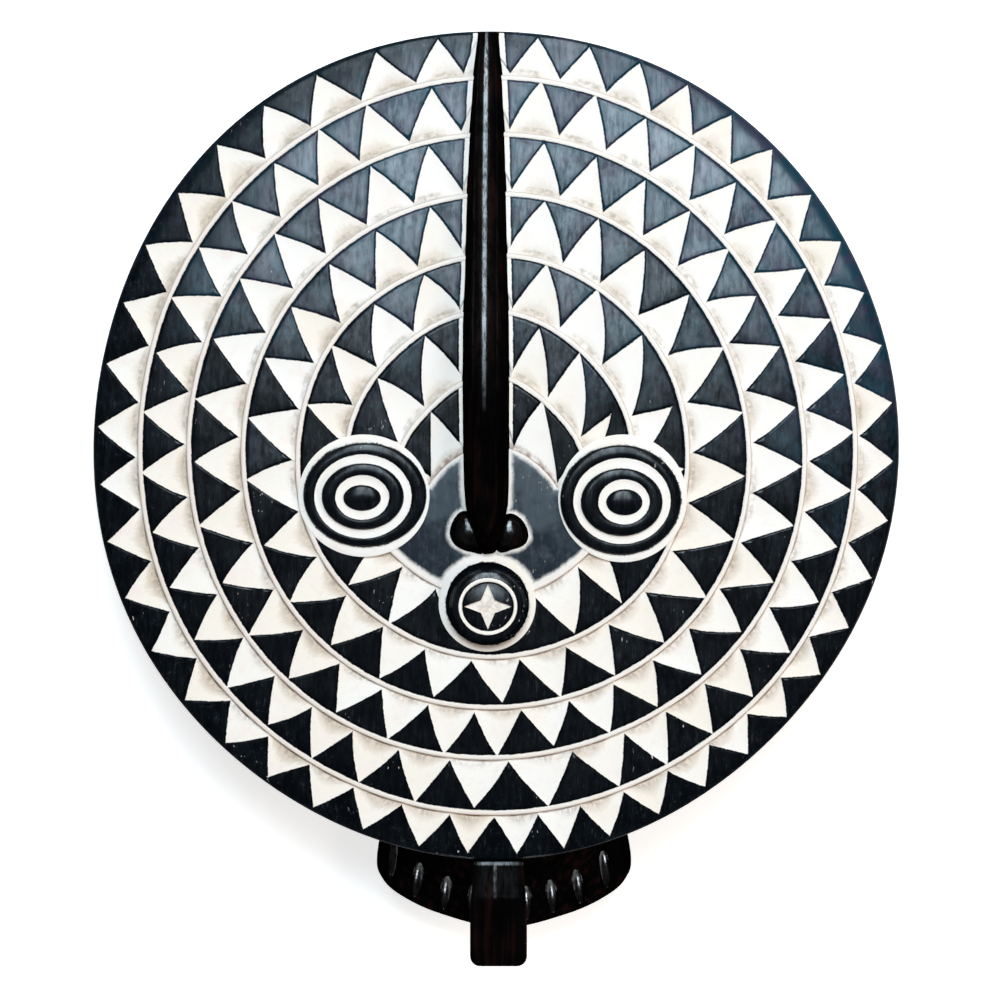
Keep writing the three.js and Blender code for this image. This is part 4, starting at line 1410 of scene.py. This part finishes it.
def draw_cup():
    """The cup's wall, flaring to its open rim."""
    loops = np.array([cup_loop(share, CUP_STEPS) for share in CUP_ROWS])
    heights = np.array([cup_level(share) for share in CUP_ROWS])
    count = loops.shape[1]
    piece, level, x, y = draw_up(count, len(loops), "NOTHING")
    move_corners(piece, np.column_stack([loops[level, count_round(x, y, count)], heights[level]]))
    face_outwards()
    apply_modifier(piece, "SOLIDIFY", thickness=CUP_WALL, offset=-1.0, use_even_offset=True)
    round_edges(piece, CUP_LIP_ROUND, 50)
    return piece


def scoop_place(wanted):
    """What turns a unit ball into the scoop at that place across the cup."""
    above, at, below = [cup_loop(SCOOP_AT + step, SCOOP_STEPS) for step in (-SCOOP_FALL, 0, SCOOP_FALL)]
    chin = len(at) // 2
    lip = np.arange(*(int(chin * end) for end in SCOOP_STRETCH))
    i = lip[np.argmin(np.abs(at[lip, 0] - CUP_X - wanted))]
    drop = cup_level(SCOOP_AT + SCOOP_FALL) - cup_level(SCOOP_AT - SCOOP_FALL)
    fall = Vector((*(below[i] - above[i]), drop))
    run = Vector((*(at[i + 1] - at[i - 1]), 0))
    down = (fall - run * (fall.x * SCOOP_UPRIGHT / run.x)).normalized()
    out = down.cross(run).normalized()
    basis = Matrix((out.cross(down), out, down)).transposed().to_4x4()
    spot = Matrix.Translation((*at[i], cup_level(SCOOP_AT)))
    return spot @ basis @ Matrix.Diagonal((*SCOOP_SIZE, 1))


class CupOperator(bpy.types.Operator):
    """Hollows the face cup and scoops leaves from its lip"""

    bl_idname = "sunmask.cup"
    bl_label = "Cup"

    def execute(self, context):
        piece = draw_cup()
        places = [scoop_place(wanted) for wanted in SCOOP_SPOTS]
        for place in places:
            deselect()
            bpy.ops.mesh.primitive_uv_sphere_add(segments=32, ring_count=20, radius=1, location=(0, 0, 0))
            leaf = context.object
            leaf.data.transform(place)
            cut_away(piece, leaf)
        points = corners_of(piece)
        hollow = np.zeros(len(points), bool)
        for place in places:
            into = place.inverted()
            inner = points @ np.array(into.to_3x3()).T + np.array(into.translation)
            hollow |= np.abs(np.linalg.norm(inner, axis=1) - 1) < 0.03
        for face in piece.data.polygons:
            face.material_index = int(all(hollow[corner] for corner in face.vertices))
        write_attribute(piece, "shine", 0)
        settle(context, piece, "cup", 40, "dark_wood", "polished_wood")
        return {"FINISHED"}


def is_end_corner(edge):
    """Whether an edge of the tab's block runs from front to back at its lower end."""
    first, last = (vertex.co for vertex in edge.verts)
    at_end = max(abs(first.y - TAB_BOTTOM), abs(last.y - TAB_BOTTOM)) < 0.5
    return at_end and abs(first.z - last.z) > 5


def block_tab():
    """The tab as a block with rounded edges, cut across where its front will bend."""
    deselect()
    bpy.ops.mesh.primitive_cube_add(size=2, location=(0, 0, 0))
    piece = bpy.context.object
    points = corners_of(piece)
    for point in points:
        low = point[1] < 0
        half = TAB_HALF if low else TAB_HALF_TOP
        point[0] = TAB_X + half * point[0]
        point[1] = TAB_BOTTOM if low else TAB_TOP
        point[2] = TAB_FRONT if point[2] > 0 else TAB_BACK
    move_corners(piece, points)
    with all_in_edit():
        cut_line((0, TAB_WIDEST, 0), (0, 1, 0))
    points = corners_of(piece)
    widest = np.abs(points[:, 1] - TAB_WIDEST) < 0.5
    points[widest, 0] = TAB_X + np.copysign(TAB_HALF, points[widest, 0] - TAB_X)
    move_corners(piece, points)
    mesh = bmesh.new()
    mesh.from_mesh(piece.data)
    corners = [edge for edge in mesh.edges if is_end_corner(edge)]
    bmesh.ops.bevel(mesh, geom=corners, offset=TAB_CORNER, segments=6, affect="EDGES", profile=0.5)
    mesh.to_mesh(piece.data)
    mesh.free()
    round_edges(piece, TAB_EDGE, 40)
    with all_in_edit():
        for y in (*np.linspace(TAB_SWELL, TAB_SHOULDER[0], 12), *TAB_SHOULDER[1:]):
            cut_line((0, y, 0), (0, 1, 0))
        for x in (TAB_CREST - TAB_CREST_WIDE, TAB_CREST, TAB_CREST + TAB_CREST_WIDE):
            cut_line((x, 0, 0), (1, 0, 0))
    return piece


class TabOperator(bpy.types.Operator):
    """Shapes the tab below the chin"""

    bl_idname = "sunmask.tab"
    bl_label = "Tab"

    def execute(self, context):
        piece = block_tab()
        points = corners_of(piece)
        x, y, z = points.T.copy()
        front = z > TAB_FRONT - 2
        sunk = np.clip(y - TAB_SWELL, 0, None) * TAB_LEAN
        sunk = sunk + np.where(y > TAB_SHOULDER[-1] - 0.1, TAB_DROP, 0)
        points[:, 2] -= np.where(z > TAB_BACK + 4, sunk, 0)
        move_corners(piece, points)
        lit = np.minimum(y - TAB_SWELL, TAB_SHOULDER[0] - y) > -0.1
        crest = front & (np.abs(x - TAB_CREST) < 0.2) & lit
        glints = np.random.default_rng(5).uniform(0.05, TAB_BRIGHT, len(points))
        shoulder = front & (np.abs(y[:, None] - TAB_SHOULDER[1:3]).min(axis=1) < 0.1)
        shine = np.where(crest, glints, TAB_DULL)
        write_attribute(piece, "shine", np.where(shoulder, TAB_BRIGHT, shine))
        settle(context, piece, "tab", 40, "dark_wood")
        return {"FINISHED"}


OPERATORS = [
    StageOperator, BoardOperator, CheeksOperator, EyesOperator, MouthOperator, NoseOperator, CupOperator,
    TabOperator,
]


class MaskPanel(bpy.types.Panel):
    """Lists the settings and the steps"""

    bl_idname = "VIEW3D_PT_sunmask"
    bl_label = "Sun mask"
    bl_space_type = "VIEW_3D"
    bl_region_type = "UI"
    bl_category = "Sun mask"

    def draw(self, context):
        for group in (context.scene.mask_paints, context.scene.mask_carving, context.scene.mask_stage):
            for name in group.__annotations__:
                self.layout.prop(group, name)
        for operator in OPERATORS:
            self.layout.operator(operator.bl_idname)


CLASSES = [MaskPaints, MaskCarving, MaskStage, *OPERATORS, MaskPanel]


def register():
    for each in CLASSES:
        bpy.utils.register_class(each)
    bpy.types.Scene.mask_paints = PointerProperty(type=MaskPaints)
    bpy.types.Scene.mask_carving = PointerProperty(type=MaskCarving)
    bpy.types.Scene.mask_stage = PointerProperty(type=MaskStage)


def unregister():
    del bpy.types.Scene.mask_stage
    del bpy.types.Scene.mask_carving
    del bpy.types.Scene.mask_paints
    for each in reversed(CLASSES):
        bpy.utils.unregister_class(each)


def main():
    register()
    bpy.ops.sunmask.stage()
    bpy.ops.sunmask.board()
    bpy.ops.sunmask.cheeks()
    bpy.ops.sunmask.eyes()
    bpy.ops.sunmask.mouth()
    bpy.ops.sunmask.nose()
    bpy.ops.sunmask.cup()
    bpy.ops.sunmask.tab()


if __name__ == "__main__":
    main()
